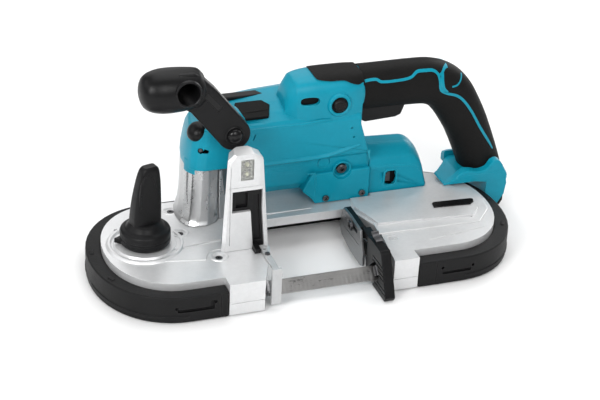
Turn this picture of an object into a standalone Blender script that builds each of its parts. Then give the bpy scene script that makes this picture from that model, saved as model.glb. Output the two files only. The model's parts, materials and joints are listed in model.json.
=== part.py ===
"""Compact cordless band saw, lying on its wheel covers.

Metres, +Z up.  X runs along the saw (the handle end is +X), the open throat
faces -Y, and the saw rests on Z = 0.  All drawing dimensions below are in
millimetres from the centre of the deck; OX and OY move that centre to the
part's own origin, the middle of its footprint.
"""
import bpy
import bmesh
import math
from mathutils import Vector, Matrix

MM = 0.001
OX, OY = -10.75, -3.0          # deck centre in the part's frame

# ---- driving dimensions (mm) ----
DECK_C = 117.0                 # centre of each rounded end along X
DECK_RX, DECK_RY = 67.5, 77.5  # semi-axes of each rounded end
DECK_N = 2.11                  # roundness exponent of the ends
RIM = 12.8                     # width of the bumper's top ledge
DECK_TOP = 30.0
DECK_UNDER = 22.0
BUMPER_TOP = 24.0
THROAT_L, THROAT_R = -38.0, 49.0
SPINE_FRONT = 15.0
WHEEL_X = 107.0                # wheel centres at +-X
WHEEL_R = 62.0                 # radius the blade runs on
WHEEL_Z0, WHEEL_Z1 = 5.0, 18.0
BLADE_W, BLADE_T = 13.0, 0.6
KNOB = (-136.0, 2.0)
BOSS = (-64.4, 127.7)          # front handle pivot, X and Z
MOTOR_Y, MOTOR_Z = 57.0, 64.0
LAY_X, LAY_Y = 100.0, 57.0     # upright lay shaft
GEAR_TEETH, PINION_TEETH = 36, 12
HANDLE_Y = 50.0
GAP = 0.3

for _o in list(bpy.data.objects):
    bpy.data.objects.remove(_o, do_unlink=True)

PARTS = bpy.data.collections.new("compact_band_saw")
bpy.context.scene.collection.children.link(PARTS)

# ---------------------------------------------------------------- materials
def material(name, rgb, rough, metal=0.0):
    m = bpy.data.materials.new(name)
    m.use_nodes = True
    b = m.node_tree.nodes["Principled BSDF"]
    b.inputs["Base Color"].default_value = (rgb[0], rgb[1], rgb[2], 1.0)
    b.inputs["Roughness"].default_value = rough
    b.inputs["Metallic"].default_value = metal
    return m

SILVER = material("cast_silver", (0.80, 0.81, 0.82), 0.42, 0.35)
GREY = material("light_grey_plastic", (0.72, 0.73, 0.74), 0.5)
TEAL = material("teal_plastic", (0.0, 0.29, 0.37), 0.38)
BLACK = material("black_plastic", (0.022, 0.022, 0.024), 0.5)
RUBBER = material("dark_rubber", (0.045, 0.045, 0.05), 0.75)
STEEL = material("steel", (0.55, 0.55, 0.56), 0.3, 1.0)
DARK_STEEL = material("dark_steel", (0.2, 0.2, 0.21), 0.38, 1.0)
BLADE_M = material("blade_steel", (0.32, 0.32, 0.33), 0.35, 1.0)
ALU = material("wheel_aluminium", (0.7, 0.7, 0.72), 0.35, 1.0)
TYRE_M = material("tyre_rubber", (0.03, 0.03, 0.03), 0.8)
COPPER = material("copper_winding", (0.7, 0.3, 0.12), 0.4, 1.0)
LENS = material("clear_lens", (0.9, 0.92, 0.9), 0.12)

# ------------------------------------------------------------------ helpers
def evaluated_mesh(ob):
    bpy.context.view_layer.update()
    dg = bpy.context.evaluated_depsgraph_get()
    dg.update()
    return bpy.data.meshes.new_from_object(ob.evaluated_get(dg))

def new_object(name, me, mat=None):
    ob = bpy.data.objects.new(name, me)
    PARTS.objects.link(ob)
    if mat is not None:
        ob.data.materials.clear()
        ob.data.materials.append(mat)
    return ob

def tidy(me, dist=1e-6, flat=True):
    bm = bmesh.new()
    bm.from_mesh(me)
    bmesh.ops.remove_doubles(bm, verts=bm.verts, dist=dist)
    bmesh.ops.dissolve_degenerate(bm, edges=bm.edges, dist=1e-7)
    if flat:                                          # one face for each flat side
        bmesh.ops.dissolve_limit(bm, angle_limit=math.radians(0.05), verts=bm.verts, edges=bm.edges)
    bmesh.ops.recalc_face_normals(bm, faces=bm.faces)
    bm.to_mesh(me)
    bm.free()

def apply_modifiers(ob):
    me = evaluated_mesh(ob)
    ob.modifiers.clear()
    mats = [m for m in ob.data.materials]
    ob.data = me
    if not me.materials:
        for m in mats:
            me.materials.append(m)
    return ob

def boolean(ob, tools, op="DIFFERENCE"):
    if not isinstance(tools, (list, tuple)):
        tools = [tools]
    for t in tools:
        md = ob.modifiers.new("b", "BOOLEAN")
        md.operation = op
        md.object = t
        md.solver = "EXACT"
        apply_modifiers(ob)
        tidy(ob.data, 4e-6, False)
    for t in tools:
        bpy.data.objects.remove(t, do_unlink=True)
    return ob

def largest_island(ob):
    """Keep the main island of a mesh and drop slivers a cut has left."""
    bm = bmesh.new()
    bm.from_mesh(ob.data)
    seen, islands = set(), []
    for f in bm.faces:
        if f in seen:
            continue
        stack, isl = [f], []
        seen.add(f)
        while stack:
            g = stack.pop()
            isl.append(g)
            for e in g.edges:
                for h in e.link_faces:
                    if h not in seen:
                        seen.add(h)
                        stack.append(h)
        islands.append(isl)
    islands.sort(key=lambda i: -sum(f.calc_area() for f in i))
    drop = [v for isl in islands[1:] for v in {v for f in isl for v in f.verts}]
    if drop:
        print("SLIVER", ob.name, [tuple(round(c * 1000, 1) for c in v.co) for v in drop[:4]])
        bmesh.ops.delete(bm, geom=drop, context="VERTS")
        bm.to_mesh(ob.data)
    bm.free()

def soften(ob, width, segments=2, angle=35.0):
    md = ob.modifiers.new("bevel", "BEVEL")
    md.width = width * MM
    md.segments = segments
    md.limit_method = "ANGLE"
    md.angle_limit = math.radians(angle)
    return apply_modifiers(ob)

AXES = {
    "Z": Matrix(((1, 0, 0), (0, 1, 0), (0, 0, 1))),
    "Y": Matrix(((1, 0, 0), (0, 0, -1), (0, 1, 0))),
    "X": Matrix(((0, 0, 1), (1, 0, 0), (0, 1, 0))),
}

def prism(name, outline, lo, hi, axis="Z", holes=(), mat=None):
    """Flat outline pushed from lo to hi along an axis.  The outline is in
    (x, y) for Z, (x, z) for Y and (y, z) for X."""
    cu = bpy.data.curves.new(name + "_outline", "CURVE")
    cu.dimensions = "2D"
    cu.fill_mode = "BOTH"
    cu.extrude = (hi - lo) / 2.0 * MM
    for pts in (outline,) + tuple(holes):
        sp = cu.splines.new("POLY")
        sp.points.add(len(pts) - 1)
        for p, q in zip(sp.points, pts):
            p.co = (q[0] * MM, q[1] * MM, 0.0, 1.0)
        sp.use_cyclic_u = True
    tmp = bpy.data.objects.new(name + "_outline", cu)
    PARTS.objects.link(tmp)
    me = evaluated_mesh(tmp)
    bpy.data.objects.remove(tmp, do_unlink=True)
    mid = (lo + hi) / 2.0
    off = {"Z": (OX, OY, mid), "Y": (OX, mid + OY, 0.0), "X": (mid + OX, OY, 0.0)}[axis]
    me.transform(Matrix.Translation(Vector(off) * MM) @ AXES[axis].to_4x4())
    tidy(me)
    return new_object(name, me, mat)

def box(name, x0, x1, y0, y1, z0, z1, mat=None):
    bm = bmesh.new()
    bmesh.ops.create_cube(bm, size=1.0)
    for v in bm.verts:
        v.co = Vector(((x0 if v.co.x < 0 else x1) + OX, (y0 if v.co.y < 0 else y1) + OY,
                       z0 if v.co.z < 0 else z1)) * MM
    me = bpy.data.meshes.new(name)
    bm.to_mesh(me)
    bm.free()
    return new_object(name, me, mat)

def turned(name, profile, centre, axis=(0, 0, 1), steps=32, mat=None, closed=False):
    """Profile of (radius, height) points turned about an axis through centre."""
    me = bpy.data.meshes.new(name)
    verts = [(r * MM, 0.0, h * MM) for r, h in profile]
    edges = [(i, i + 1) for i in range(len(verts) - 1)]
    if closed:
        edges.append((len(verts) - 1, 0))
    me.from_pydata(verts, edges, [])
    ob = new_object(name, me)
    md = ob.modifiers.new("screw", "SCREW")
    md.axis = "Z"
    md.steps = steps
    md.render_steps = steps
    md.use_merge_vertices = True
    md.merge_threshold = 1e-6
    apply_modifiers(ob)
    rot = Vector((0, 0, 1)).rotation_difference(Vector(axis).normalized()).to_matrix().to_4x4()
    c = Vector((centre[0] + OX, centre[1] + OY, centre[2])) * MM
    ob.data.transform(Matrix.Translation(c) @ rot)
    tidy(ob.data)
    if mat is not None:
        ob.data.materials.clear()
        ob.data.materials.append(mat)
    return ob

def rod(name, radius, a, b, steps=24, mat=None):
    a, b = Vector(a), Vector(b)
    n = (b - a).length
    return turned(name, [(0, n), (radius, n), (radius, 0), (0, 0)], a, (b - a), steps, mat)

def loft(name, rings, mat=None):
    """Closed skin through rings of equal point count, mm in the deck frame."""
    bm = bmesh.new()
    rows = [[bm.verts.new(Vector((p[0] + OX, p[1] + OY, p[2])) * MM) for p in r] for r in rings]
    n = len(rings[0])
    for a, b in zip(rows, rows[1:]):
        for i in range(n):
            bm.faces.new((a[i], a[(i + 1) % n], b[(i + 1) % n], b[i]))
    bmesh.ops.triangulate(bm, faces=bm.faces)
    bm.faces.new(rows[0])
    bm.faces.new(rows[-1])
    bmesh.ops.recalc_face_normals(bm, faces=bm.faces)
    me = bpy.data.meshes.new(name)
    bm.to_mesh(me)
    bm.free()
    return new_object(name, me, mat)

def origin_at(ob, x, y, z):
    """Put the object's origin on its joint axis."""
    p = Vector((x + OX, y + OY, z)) * MM
    ob.data.transform(Matrix.Translation(-p))
    ob.location = p
    return ob

def smooth(ob, angle=32.0):
    ob.data.shade_smooth()
    ob.data.set_sharp_from_angle(angle=math.radians(angle))
    return ob

def superarc(side, inset, a0=-90.0, a1=90.0, n=26, c=DECK_C):
    """Rounded end of the deck, from the front round to the rear."""
    rx, ry = DECK_RX - inset, DECK_RY - inset
    out = []
    for i in range(n + 1):
        t = math.radians(a0 + (a1 - a0) * i / n)
        cx, sy = math.cos(t), math.sin(t)
        out.append((side * (c + rx * math.copysign(abs(cx) ** (2 / DECK_N), cx)),
                    ry * math.copysign(abs(sy) ** (2 / DECK_N), sy)))
    return out

def toothed(cx, cy, teeth, r_pitch, add, ded, phase=0.0, duty=0.36):
    pts = []
    for k in range(teeth):
        a = 2 * math.pi * k / teeth + phase
        w = 2 * math.pi / teeth
        for da, r in ((-0.5 * duty - 0.10, r_pitch - ded), (-0.5 * duty + 0.07, r_pitch + add),
                      (0.5 * duty - 0.07, r_pitch + add), (0.5 * duty + 0.10, r_pitch - ded)):
            pts.append((cx + r * math.cos(a + da * w), cy + r * math.sin(a + da * w)))
    return pts

def circle(cx, cy, r, n=24):
    return [(cx + r * math.cos(2 * math.pi * i / n), cy + r * math.sin(2 * math.pi * i / n)) for i in range(n)]

def oval_ring(centre, u, v, a, b, n=20, power=2.3):
    """Rounded section: a along u and b along v."""
    c, u, v = Vector(centre), Vector(u), Vector(v)
    out = []
    for i in range(n):
        t = 2 * math.pi * (i + 0.5) / n
        ct, st = math.cos(t), math.sin(t)
        out.append(c + u * (a * math.copysign(abs(ct) ** (2 / power), ct))
                   + v * (b * math.copysign(abs(st) ** (2 / power), st)))
    return out

def screw(name, x, y, z, r=3.0, depth=7.0, axis=(0, 0, 1), head=2.2):
    return turned(name, [(0, 0), (r, 0), (r, -head), (r * 0.55, -head), (r * 0.55, -depth), (0, -depth)],
                  (x, y, z), axis, 12, DARK_STEEL)

def screw_hole(x, y, z, r=3.0, depth=7.0, axis=(0, 0, 1), head=2.2, lift=3.0):
    g = GAP
    return turned("cut", [(0, lift), (r + g, lift), (r + g, -head - g), (r * 0.55 + g, -head - g),
                          (r * 0.55 + g, -depth - g), (0, -depth - g)], (x, y, z), axis, 12)

s45 = math.sqrt(0.5)
def tilted_slot(name, x0, x1, cy, cz, half_w, half_n):
    """Box whose sides follow the twisted blade: w along its width, n across it."""
    pts = []
    for sw, sn in ((-1, -1), (1, -1), (1, 1), (-1, 1)):
        pts.append((cy + sw * half_w * (-s45) + sn * half_n * (-s45),
                    cz + sw * half_w * (-s45) + sn * half_n * s45))
    return prism(name, pts, x0, x1, "X")

# ============================================================== cast deck
def deck_outline(inset=0.0):
    left = superarc(-1, RIM + inset)
    right = [p for p in superarc(1, RIM + inset) if p[1] < 0 or p[0] > 138.0]
    ya = DECK_RY - RIM - inset
    pts = []
    pts += [(-87 + inset, -ya), (-87 + inset, -77.5 + inset), (-57 - inset, -77.5 + inset),
            (THROAT_L - inset, -30.0), (THROAT_L - inset, SPINE_FRONT - 4 + inset),
            (THROAT_L + 4 - inset, SPINE_FRONT + inset),
            (44 + inset, SPINE_FRONT + inset), (THROAT_R + inset, SPINE_FRONT - 5 + inset),
            (60 + inset, -20.0), (60 + inset, -30.0), (54.5 + inset, -77.5 + inset),
            (76.5 - inset, -77.5 + inset), (76.5 - inset, -ya)]
    pts += right
    pts += [(137.4 - inset, 60.0 - inset), (137.4 - inset, 77.5 - inset), (60 + inset, 77.5 - inset), (56, 70 - inset),
            (-56, 70 - inset), (-60, ya)]
    pts += list(reversed(left))
    clean = []
    for p in pts:
        if not clean or (abs(p[0] - clean[-1][0]) + abs(p[1] - clean[-1][1])) > 0.05:
            clean.append(p)
    return clean

deck = prism("deck_frame", deck_outline(), DECK_UNDER, DECK_TOP, mat=SILVER)
blk_l = prism("t", [(-86.9, -77.4), (-57.2, -77.4), (-48.5, -54.0), (-51.8, -54.0), (-59.5, -73.8), (-84.2, -73.8),
                    (-84.2, -68.0), (-86.9, -68.0)], 1.5, 23.0)
blk_r = prism("t", [(54.6, -77.4), (76.4, -77.4), (76.4, -68.0), (73.6, -68.0), (73.6, -73.8), (57.9, -73.8),
                    (59.0, -52.0), (56.3, -52.0)], 1.5, 23.0)
rear = prism("t", [(-55, 66.9), (56, 66.9), (56, 69.8), (-55, 69.8)], 1.5, 23.0)
plateau_r = prism("t", [(62, -20), (148, -27), (158, -14), (160, 0), (156, 16), (146, 30), (73.5, 31), (73.5, 26.5), (54, 26.5),
                        (52.5, 12)], 29.0, 33.0)
plateau_l = prism("t", [(-118, -14), (-74, -8.5), (-62, 18), (-62, 55), (-104, 55), (-118, 40)], 29.0, 31.5)
knob_seat = turned("t", [(0, 32.0), (25.5, 32.0), (27.5, 29.0), (0, 29.0)], (KNOB[0], KNOB[1], 0), steps=36)
boolean(deck, [blk_l, blk_r, rear, plateau_r, plateau_l, knob_seat], "UNION")
# pocket of the sliding idler carriage, bore of the cam shaft, gear pocket
cuts = [box("t", -151, -89, -14, 14, 20, 26.9),
        turned("t", [(0, 40), (4.4, 40), (4.4, 20), (0, 20)], (KNOB[0], KNOB[1], 0), steps=20),
        prism("t", circle(WHEEL_X, 0, 46.5, 40), 20, 28.0),
        prism("t", circle(LAY_X, LAY_Y, 18.6, 24), 20, 28.0),
        turned("t", [(0, 40), (5.4, 40), (5.4, 20), (0, 20)], (LAY_X, LAY_Y, 0), steps=20)]
boolean(deck, cuts)
# clear way for the blade through both front blocks
for bx in (-60.0, 57.0):
    way = box("t", bx - 9, bx + 9, -71.5, -54.0, 2.0, 21.5)
    boolean(deck, way)
boolean(deck, tilted_slot("t", -57.0, -44.0, -62.0, 11.5, 7.4, 11.8))
lobe_screws = [("lobe_screw_a", -104.5, 10.0, 31.5, 3.2), ("lobe_screw_b", -83.0, -33.0, 30.0, 6.5),
               ("lobe_screw_c", -102.5, 47.5, 31.5, 6.5), ("lobe_screw_d", 66.8, -42.0, 30.0, 6.5)]
boolean(deck, [screw_hole(x, y, z - 0.8, depth=d) for _, x, y, z, d in lobe_screws])
for nm, x, y, z, d in lobe_screws:
    screw(nm, x, y, z - 0.8, depth=d)

# ---- wheel covers: base plate with an upstand
def cover(name, side):
    arc = [p for p in superarc(side, 3.4)]
    inner = [p for p in superarc(side, 6.2)]
    xs = 60.3
    fx = 87.4 if side < 0 else 76.9
    back_in = 65.6
    if side < 0:
        outline = [(-xs, -73.3), (-fx + 3.6, -73.3), (-fx + 3.6, -67.6), (-fx - 2.0, -67.6), (-fx - 2.0, -74.1)] + arc + [(-xs, 74.1), (-xs, 66)]
        ring = arc + [(-xs, 74.1), (-xs, 71.3)] + list(reversed(inner))
    else:
        outline = [(xs, -73.3), (fx - 3.6, -73.3), (fx - 3.6, -67.6), (fx + 8.5, -67.6), (fx + 8.5, -74.1)] + arc + [(xs, 74.1), (xs, 66)]
        ring = arc + [(xs, 74.1), (xs, 71.3)] + list(reversed(inner))
    ob = prism(name, outline, 0.0, 3.0, mat=BLACK)
    wall = prism("t", ring, 2.5, 20.9)
    boolean(ob, [wall], "UNION")
    return ob

cover_f = cover("wheel_cover_front", -1)
cover_r = cover("wheel_cover_rear", 1)
channel = prism("return_channel", [(-60, 64.9), (-60, 46.0), (60, 46.0), (60, 64.9)], 0.0, 3.0, mat=BLACK)
boolean(channel, [box("t", -60, 60, 46.0, 48.6, 2.5, 21.6)], "UNION")

# ---- rubber bumpers: a ledge on top and a skirt outside
def bumper(name, side, x_front, x_rear):
    def ring(i0, i1):
        rows = []
        for inset in (i0, i1):
            a = superarc(side, inset)
            if x_rear > DECK_C:                       # stops short on the rear round
                a = [p for p in a if p[1] < 0 or abs(p[0]) > x_rear + 0.5]
                rx, ry = DECK_RX - inset, DECK_RY - inset
                y = ry * (1.0 - ((x_rear - DECK_C) / rx) ** DECK_N) ** (1.0 / DECK_N)
                a.append((side * x_rear, y))
            else:
                a.append((side * x_rear, a[-1][1]))
            rows.append([(side * x_front, a[0][1])] + a)
        return rows[0] + list(reversed(rows[1]))
    ob = prism(name, ring(0.0, RIM - GAP), 21.3, BUMPER_TOP, mat=RUBBER)
    boolean(ob, [prism("t", ring(0.0, 3.1), 0.6, 21.8)], "UNION")
    return ob

bump_f = bumper("bumper_front", -1, 87.4, 62.0)
bump_r = bumper("bumper_rear", 1, 77.2, 138.0)

# ================================================= pillar, tower and guards
pillar_out = [(-62.5, 70), (-62.5, 38), (-64.5, 29), (-69, 23), (-76, 19.5), (-84, 19.5), (-90.5, 23.5), (-94.5, 31), (-95.5, 42), (-93, 55), (-86, 70)]
def pillar_ring(z, grow):
    ring = []
    for x, y in pillar_out:
        gx = grow if x < -80 else (grow * 0.5 if x < -68 else 0.0)
        gy = grow if y < 28 else (grow * 0.4 if y < 35 else 0.0)
        ring.append(Vector((x - gx, y - gy, z)))
    return ring
pillar = loft("support_pillar", [pillar_ring(z, g) for z, g in ((31.8, 5.6), (35.0, 3.6), (41.0, 1.9), (50.0, 0.8), (64.0, 0.0), (84.5, -0.6))], SILVER)
tower = prism("guide_tower", [(-74.5, -26), (-72, -28), (-43, -28), (-39, -27), (-39, -9), (-45, -3), (-62, -3), (-68, -9)],
              30.3, 112.0, mat=SILVER)
for v in tower.data.vertices:                      # the tower narrows towards its top
    t = max(0.0, min(1.0, (v.co.z / MM - 30.3) / 82.0))
    x = v.co.x / MM - OX
    v.co.x = ((x + (-6.5 * t if x > -57 else -0.8 * t - 4.6 * (1.0 - t))) + OX) * MM
cap = loft("t", [[Vector((x, y, 111.0)) for x, y in ((-75.2, -26), (-72, -28), (-50, -28), (-45.7, -26.5), (-45.7, -13), (-50, -9), (-64, -9), (-70, -12))],
                 [Vector((x, y, 113.5)) for x, y in ((-75.2, -26), (-72, -28), (-50, -28), (-45.7, -26.5), (-45.7, -13), (-50, -9), (-64, -9), (-70, -12))],
                 [Vector((x, y, 118.0)) for x, y in ((-70, -25.5), (-68, -27.2), (-55, -27.2), (-53, -25.5), (-53, -14.5), (-55, -12), (-64, -12), (-67, -14.5))]])
boolean(tower, [cap], "UNION")
boolean(tower, [turned("t", [(0, 9), (7.0, 9), (7.0, -4), (0, -4)], (BOSS[0], -3.0, BOSS[1]), (0, -1, 0), 20)])
# window of the lamp and the L-shaped slot of the lower insert
boolean(tower, [box("t", -65, -53, -30, -20.0, 94.6, 114.4),
                box("t", -71.2, -45.5, -30, -16.0, 66.0, 85.5),
                prism("t", [(-55.5, 67.0), (-45.5, 67.0), (-42.4, 29.0), (-52.4, 29.0)], -30.0, -16.0, "Y")])
lens = box("lamp_lens", -64.6, -53.4, -27.3, -20.4, 95.0, 114.0, LENS)
insert = prism("guide_insert", [(-70.8, 85.1), (-45.9, 85.1), (-45.9, 66.6), (-42.9, 30.4), (-52.0, 30.4), (-55.1, 66.4), (-70.8, 66.4)],
               -25.5, -16.4, "Y", mat=BLACK)
foot = prism("t", [(-53.5, 30.4), (-48.3, 30.4), (-48.3, 34.0), (-52.8, 34.0)], -37.0, -28.5, "Y")
boolean(insert, [foot, box("t", -51.7, -48.3, -29.5, -25.0, 30.4, 33.9)], "UNION")
guard = box("front_blade_guard", -47.6, -42.6, -77.0, -28.6, 30.4, 33.0, GREY)
boolean(guard, [box("t", -51.4, -43.2, -77.0, -73.8, 5.5, 38.0)], "UNION")

# black shoe beside the rear guide and the stop plate in front of it
shoe = prism("guide_shoe", [(-46, 37), (-52, 39.5), (-74, 39.5), (-77, 37), (-92, 4), (-90, 0.4), (-54, 0.4), (-46, 10)],
             41.8, 50.8, "X", mat=BLACK)
hook = box("t", 43.0, 50.8, -52.0, -30.0, 31.0, 37.0)
boolean(shoe, [hook], "UNION")
boolean(shoe, [tilted_slot("t", 41.0, 52.0, -62.0, 11.5, 7.3, 11.6)])
clip = box("shoe_clip", 43.5, 50.0, -60.0, -50.0, 39.8, 40.9, STEEL)
stopper = prism("stopper_plate", [(8, 33), (11, 17), (5, 11), (-14.5, 6.8), (-40, 6.0), (-45, 8.5), (-44, 20),
                                  (-35, 37), (-9, 38.5), (4, 38)], 39.2, 41.4, "X", mat=DARK_STEEL)
stop_slot = [(-28, 31), (-8, 31), (-6.6, 32.5), (-8, 34), (-28, 34), (-29.4, 32.5)]
stopper_slot = prism("t", stop_slot, 38, 43, "X")
boolean(stopper, [stopper_slot])
stop_bracket = box("stopper_bracket", 41.8, 47.8, -27.0, 9.0, 24.0, 35.5, BLACK)
stop_screw = turned("stopper_screw", [(0, -2.6), (4.0, -2.6), (4.0, -0.3), (1.1, -0.3), (1.1, 5.0), (0, 5.0)],
                    (38.9, -18.0, 32.5), (1, 0, 0), 16, STEEL)
boolean(stop_bracket, [turned("t", [(0, -5), (1.4, -5), (1.4, 5.6), (0, 5.6)], (38.9, -18.0, 32.5), (1, 0, 0), 12)])

# =============================================================== the blade
def blade_frames():
    """Centre, width direction and thickness direction round the loop."""
    fr = []
    zc = (WHEEL_Z0 + WHEEL_Z1) / 2
    n = 20
    r = WHEEL_R + BLADE_T / 2 + 0.05
    for i in range(n + 1):                                   # front wheel, front to rear
        a = math.radians(-90 - 180.0 * i / n)
        fr.append(((-WHEEL_X + r * math.cos(a), r * math.sin(a), zc), 0.0, a))
    for i in range(n + 1):                                   # rear wheel, rear to front
        a = math.radians(90 - 180.0 * i / n)
        fr.append(((WHEEL_X + r * math.cos(a), r * math.sin(a), zc), 0.0, a))
    for x, tw in ((92, 8), (78, 22), (66, 34), (54, 43), (46, 45), (0, 45), (-42, 45), (-52, 43), (-64, 34),
                  (-76, 22), (-92, 8)):
        fr.append(((x, -r, zc), tw, math.radians(-90)))
    return fr

def ribbon(name, frames, w, t, mat):
    bm = bmesh.new()
    rows = []
    for (c, tw, a) in frames:
        c = Vector(c)
        out = Vector((math.cos(a), math.sin(a), 0))
        up = Vector((0, 0, 1))
        k = math.radians(tw)
        wd = up * math.cos(k) - out * math.sin(k)
        nd = out * math.cos(k) + up * math.sin(k)
        row = []
        for sw, sn in ((-1, -1), (1, -1), (1, 1), (-1, 1)):
            p = c + wd * (sw * w / 2) + nd * (sn * t / 2)
            row.append(bm.verts.new(Vector((p.x + OX, p.y + OY, p.z)) * MM))
        rows.append(row)
    m = len(rows)
    for i in range(m):
        A, B = rows[i], rows[(i + 1) % m]
        for j in range(4):
            bm.faces.new((A[j], A[(j + 1) % 4], B[(j + 1) % 4], B[j]))
    bmesh.ops.recalc_face_normals(bm, faces=bm.faces)
    me = bpy.data.meshes.new(name)
    bm.to_mesh(me)
    bm.free()
    return new_object(name, me, mat)

blade = ribbon("blade_loop", blade_frames(), BLADE_W, BLADE_T, BLADE_M)

# ================================================================== wheels
def wheel(prefix, side):
    x = side * WHEEL_X
    body = turned(prefix + "_wheel", [(6.3, 18.0), (14, 18.0), (14, 13.0), (50, 13.0), (50, 17.6), (59.0, 17.6), (59.0, 5.4),
                                      (50, 5.4), (50, 10.0), (14, 10.0), (14, 5.0), (6.3, 5.0)],
                  (x, 0, 0), steps=36, mat=ALU, closed=True)
    holes = [prism("t", circle(x + 32 * math.cos(math.radians(72 * k + 3)), 32 * math.sin(math.radians(72 * k + 3)), 9.5, 12), 2, 22)
             for k in range(5)]
    boolean(body, holes)
    tyre = turned(prefix + "_tyre", [(59.3, 17.4), (61.7, 17.4), (61.7, 5.6), (59.3, 5.6)], (x, 0, 0), steps=48,
                  mat=TYRE_M, closed=True)
    return origin_at(body, x, 0, 11.5), origin_at(tyre, x, 0, 11.5)

idler, idler_tyre = wheel("idler", -1)
driven, driven_tyre = wheel("drive", 1)

# idler carriage with its fixed axle, slides along X
carriage = box("idler_carriage", -129.0, -94.0, -12.0, 12.0, 21.0, 26.4, STEEL)
axle = turned("t", [(0, 22.0), (5.9, 22.0), (5.9, 3.8), (0, 3.8)], (-WHEEL_X, 0, 0), steps=24)
boolean(carriage, [axle], "UNION")
origin_at(carriage, -WHEEL_X, 0, 23.5)
# eccentric cam on the tension lever's shaft
cam = turned("tension_cam", [(0, 31.6), (4.0, 31.6), (4.0, 21.6), (0, 21.6)], (KNOB[0], KNOB[1], 0), steps=20, mat=STEEL)
cam_disc = turned("t", [(0, 26.2), (5.0, 26.2), (5.0, 21.6), (0, 21.6)], (KNOB[0] + 1.6, KNOB[1], 0), steps=20)
boolean(cam, [cam_disc], "UNION")
origin_at(cam, KNOB[0], KNOB[1], 26.0)
# tension lever: round dish with a tall paddle
knob = turned("tension_lever", [(0, 53.0), (9.0, 53.0), (13.5, 51.4), (16.4, 47.6), (18.4, 46.6), (20.6, 45.4), (21.0, 44.0), (21.0, 34.0),
                                (20.0, 32.4), (0, 32.4)], (KNOB[0], KNOB[1], 0), steps=36, mat=BLACK)
ka = math.radians(15.0)
def knob_pt(u, v, z):
    """u across the paddle's broad side, v through its thickness."""
    return (KNOB[0] + u * math.cos(ka) - v * math.sin(ka), KNOB[1] + u * math.sin(ka) + v * math.cos(ka), z)
paddle_rings = []
for z, hw, ht, du in ((50.0, 12.4, 7.2, 0), (56, 12.6, 7.0, 0), (66, 12.2, 6.6, 0.6), (76, 11.4, 6.2, 1.4),
                      (86, 10.2, 5.8, 2.4), (94, 8.8, 5.4, 3.2), (99.5, 7.4, 4.6, 3.8), (102, 5.4, 3.2, 3.8)):
    paddle_rings.append([Vector(knob_pt(du + hw * cu_, ht * cv_, z)) for cu_, cv_ in
                         ((1, -0.55), (1, 0.55), (0.8, 1), (-0.8, 1), (-1, 0.55), (-1, -0.55), (-0.8, -1), (0.8, -1))])
paddle = loft("t", paddle_rings)
pointer = prism("t", [(KNOB[0] - 20, KNOB[1] + 6.5), (KNOB[0] - 25.5, KNOB[1] + 3.6), (KNOB[0] - 20.3, KNOB[1] - 1)], 33.0, 38.0)
boolean(knob, [paddle, pointer], "UNION")
origin_at(knob, KNOB[0], KNOB[1], 38.0)

# ============================================================== gear train
CENTRES = math.hypot(LAY_X - WHEEL_X, LAY_Y)
MOD = 2 * CENTRES / (GEAR_TEETH + PINION_TEETH)
RG, RP = MOD * GEAR_TEETH / 2, MOD * PINION_TEETH / 2
ang = math.atan2(LAY_Y, LAY_X - WHEEL_X)
gear = prism("drive_gear", toothed(WHEEL_X, 0, GEAR_TEETH, RG, 0.55 * MOD, 1.0 * MOD, ang), 22.3, 27.3, mat=STEEL,
             holes=(circle(WHEEL_X, 0, 6.35, 24),))
origin_at(gear, WHEEL_X, 0, 24.8)
pin_phase = ang + math.pi + math.pi / PINION_TEETH
pinion = prism("t", toothed(LAY_X, LAY_Y, PINION_TEETH, RP, 0.55 * MOD, 1.0 * MOD, pin_phase), 22.3, 27.3)
drive_shaft = turned("drive_shaft", [(0, 27.6), (6.0, 27.6), (6.0, 3.8), (0, 3.8)], (WHEEL_X, 0, 0), steps=24, mat=STEEL)
origin_at(drive_shaft, WHEEL_X, 0, 15.0)
lay_shaft = turned("lay_shaft", [(0, 60.0), (3.7, 60.0), (3.7, 22.3), (0, 22.3)], (LAY_X, LAY_Y, 0), steps=20, mat=STEEL)
boolean(lay_shaft, pinion, "UNION")                 # the pinion is cut on the shaft
origin_at(lay_shaft, LAY_X, LAY_Y, 40.0)

def bevel_wheel(name, teeth, r, apex, axis, dist, face, mat):
    """Conical toothed wheel whose cone meets the apex."""
    ax = Vector(axis).normalized()
    u = Vector((0, 0, 1)) if abs(ax.z) < 0.5 else Vector((1, 0, 0))
    v = ax.cross(u)
    rings = []
    k1 = 1.0 - face / math.hypot(dist, r)
    for k in (1.0, k1):
        rr = r * k
        pts = toothed(0, 0, teeth, rr, 0.045 * rr, 0.16 * rr, 0.0, 0.34)
        rings.append([Vector(apex) + ax * (dist * k) + u * a + v * b for a, b in pts])
    return loft(name, rings, mat)

APEX = (LAY_X, LAY_Y, MOTOR_Z)
bevel_gear = bevel_wheel("lay_bevel_gear", 22, 14.0, APEX, (0, 0, -1), 7.0, 5.5, STEEL)
boolean(bevel_gear, [turned("t", [(0, 70), (4.0, 70), (4.0, 40), (0, 40)], (LAY_X, LAY_Y, 0), steps=20)])
origin_at(bevel_gear, LAY_X, LAY_Y, 58.0)
bevel_pin = bevel_wheel("motor_bevel_pinion", 11, 7.0, APEX, (-1, 0, 0), 14.0, 5.5, DARK_STEEL)
boolean(bevel_pin, [turned("t", [(0, 40), (3.0, 40), (3.0, -5), (0, -5)], (LAY_X - 25, LAY_Y, MOTOR_Z), (1, 0, 0), steps=16)])
origin_at(bevel_pin, LAY_X - 15, LAY_Y, MOTOR_Z)

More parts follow.
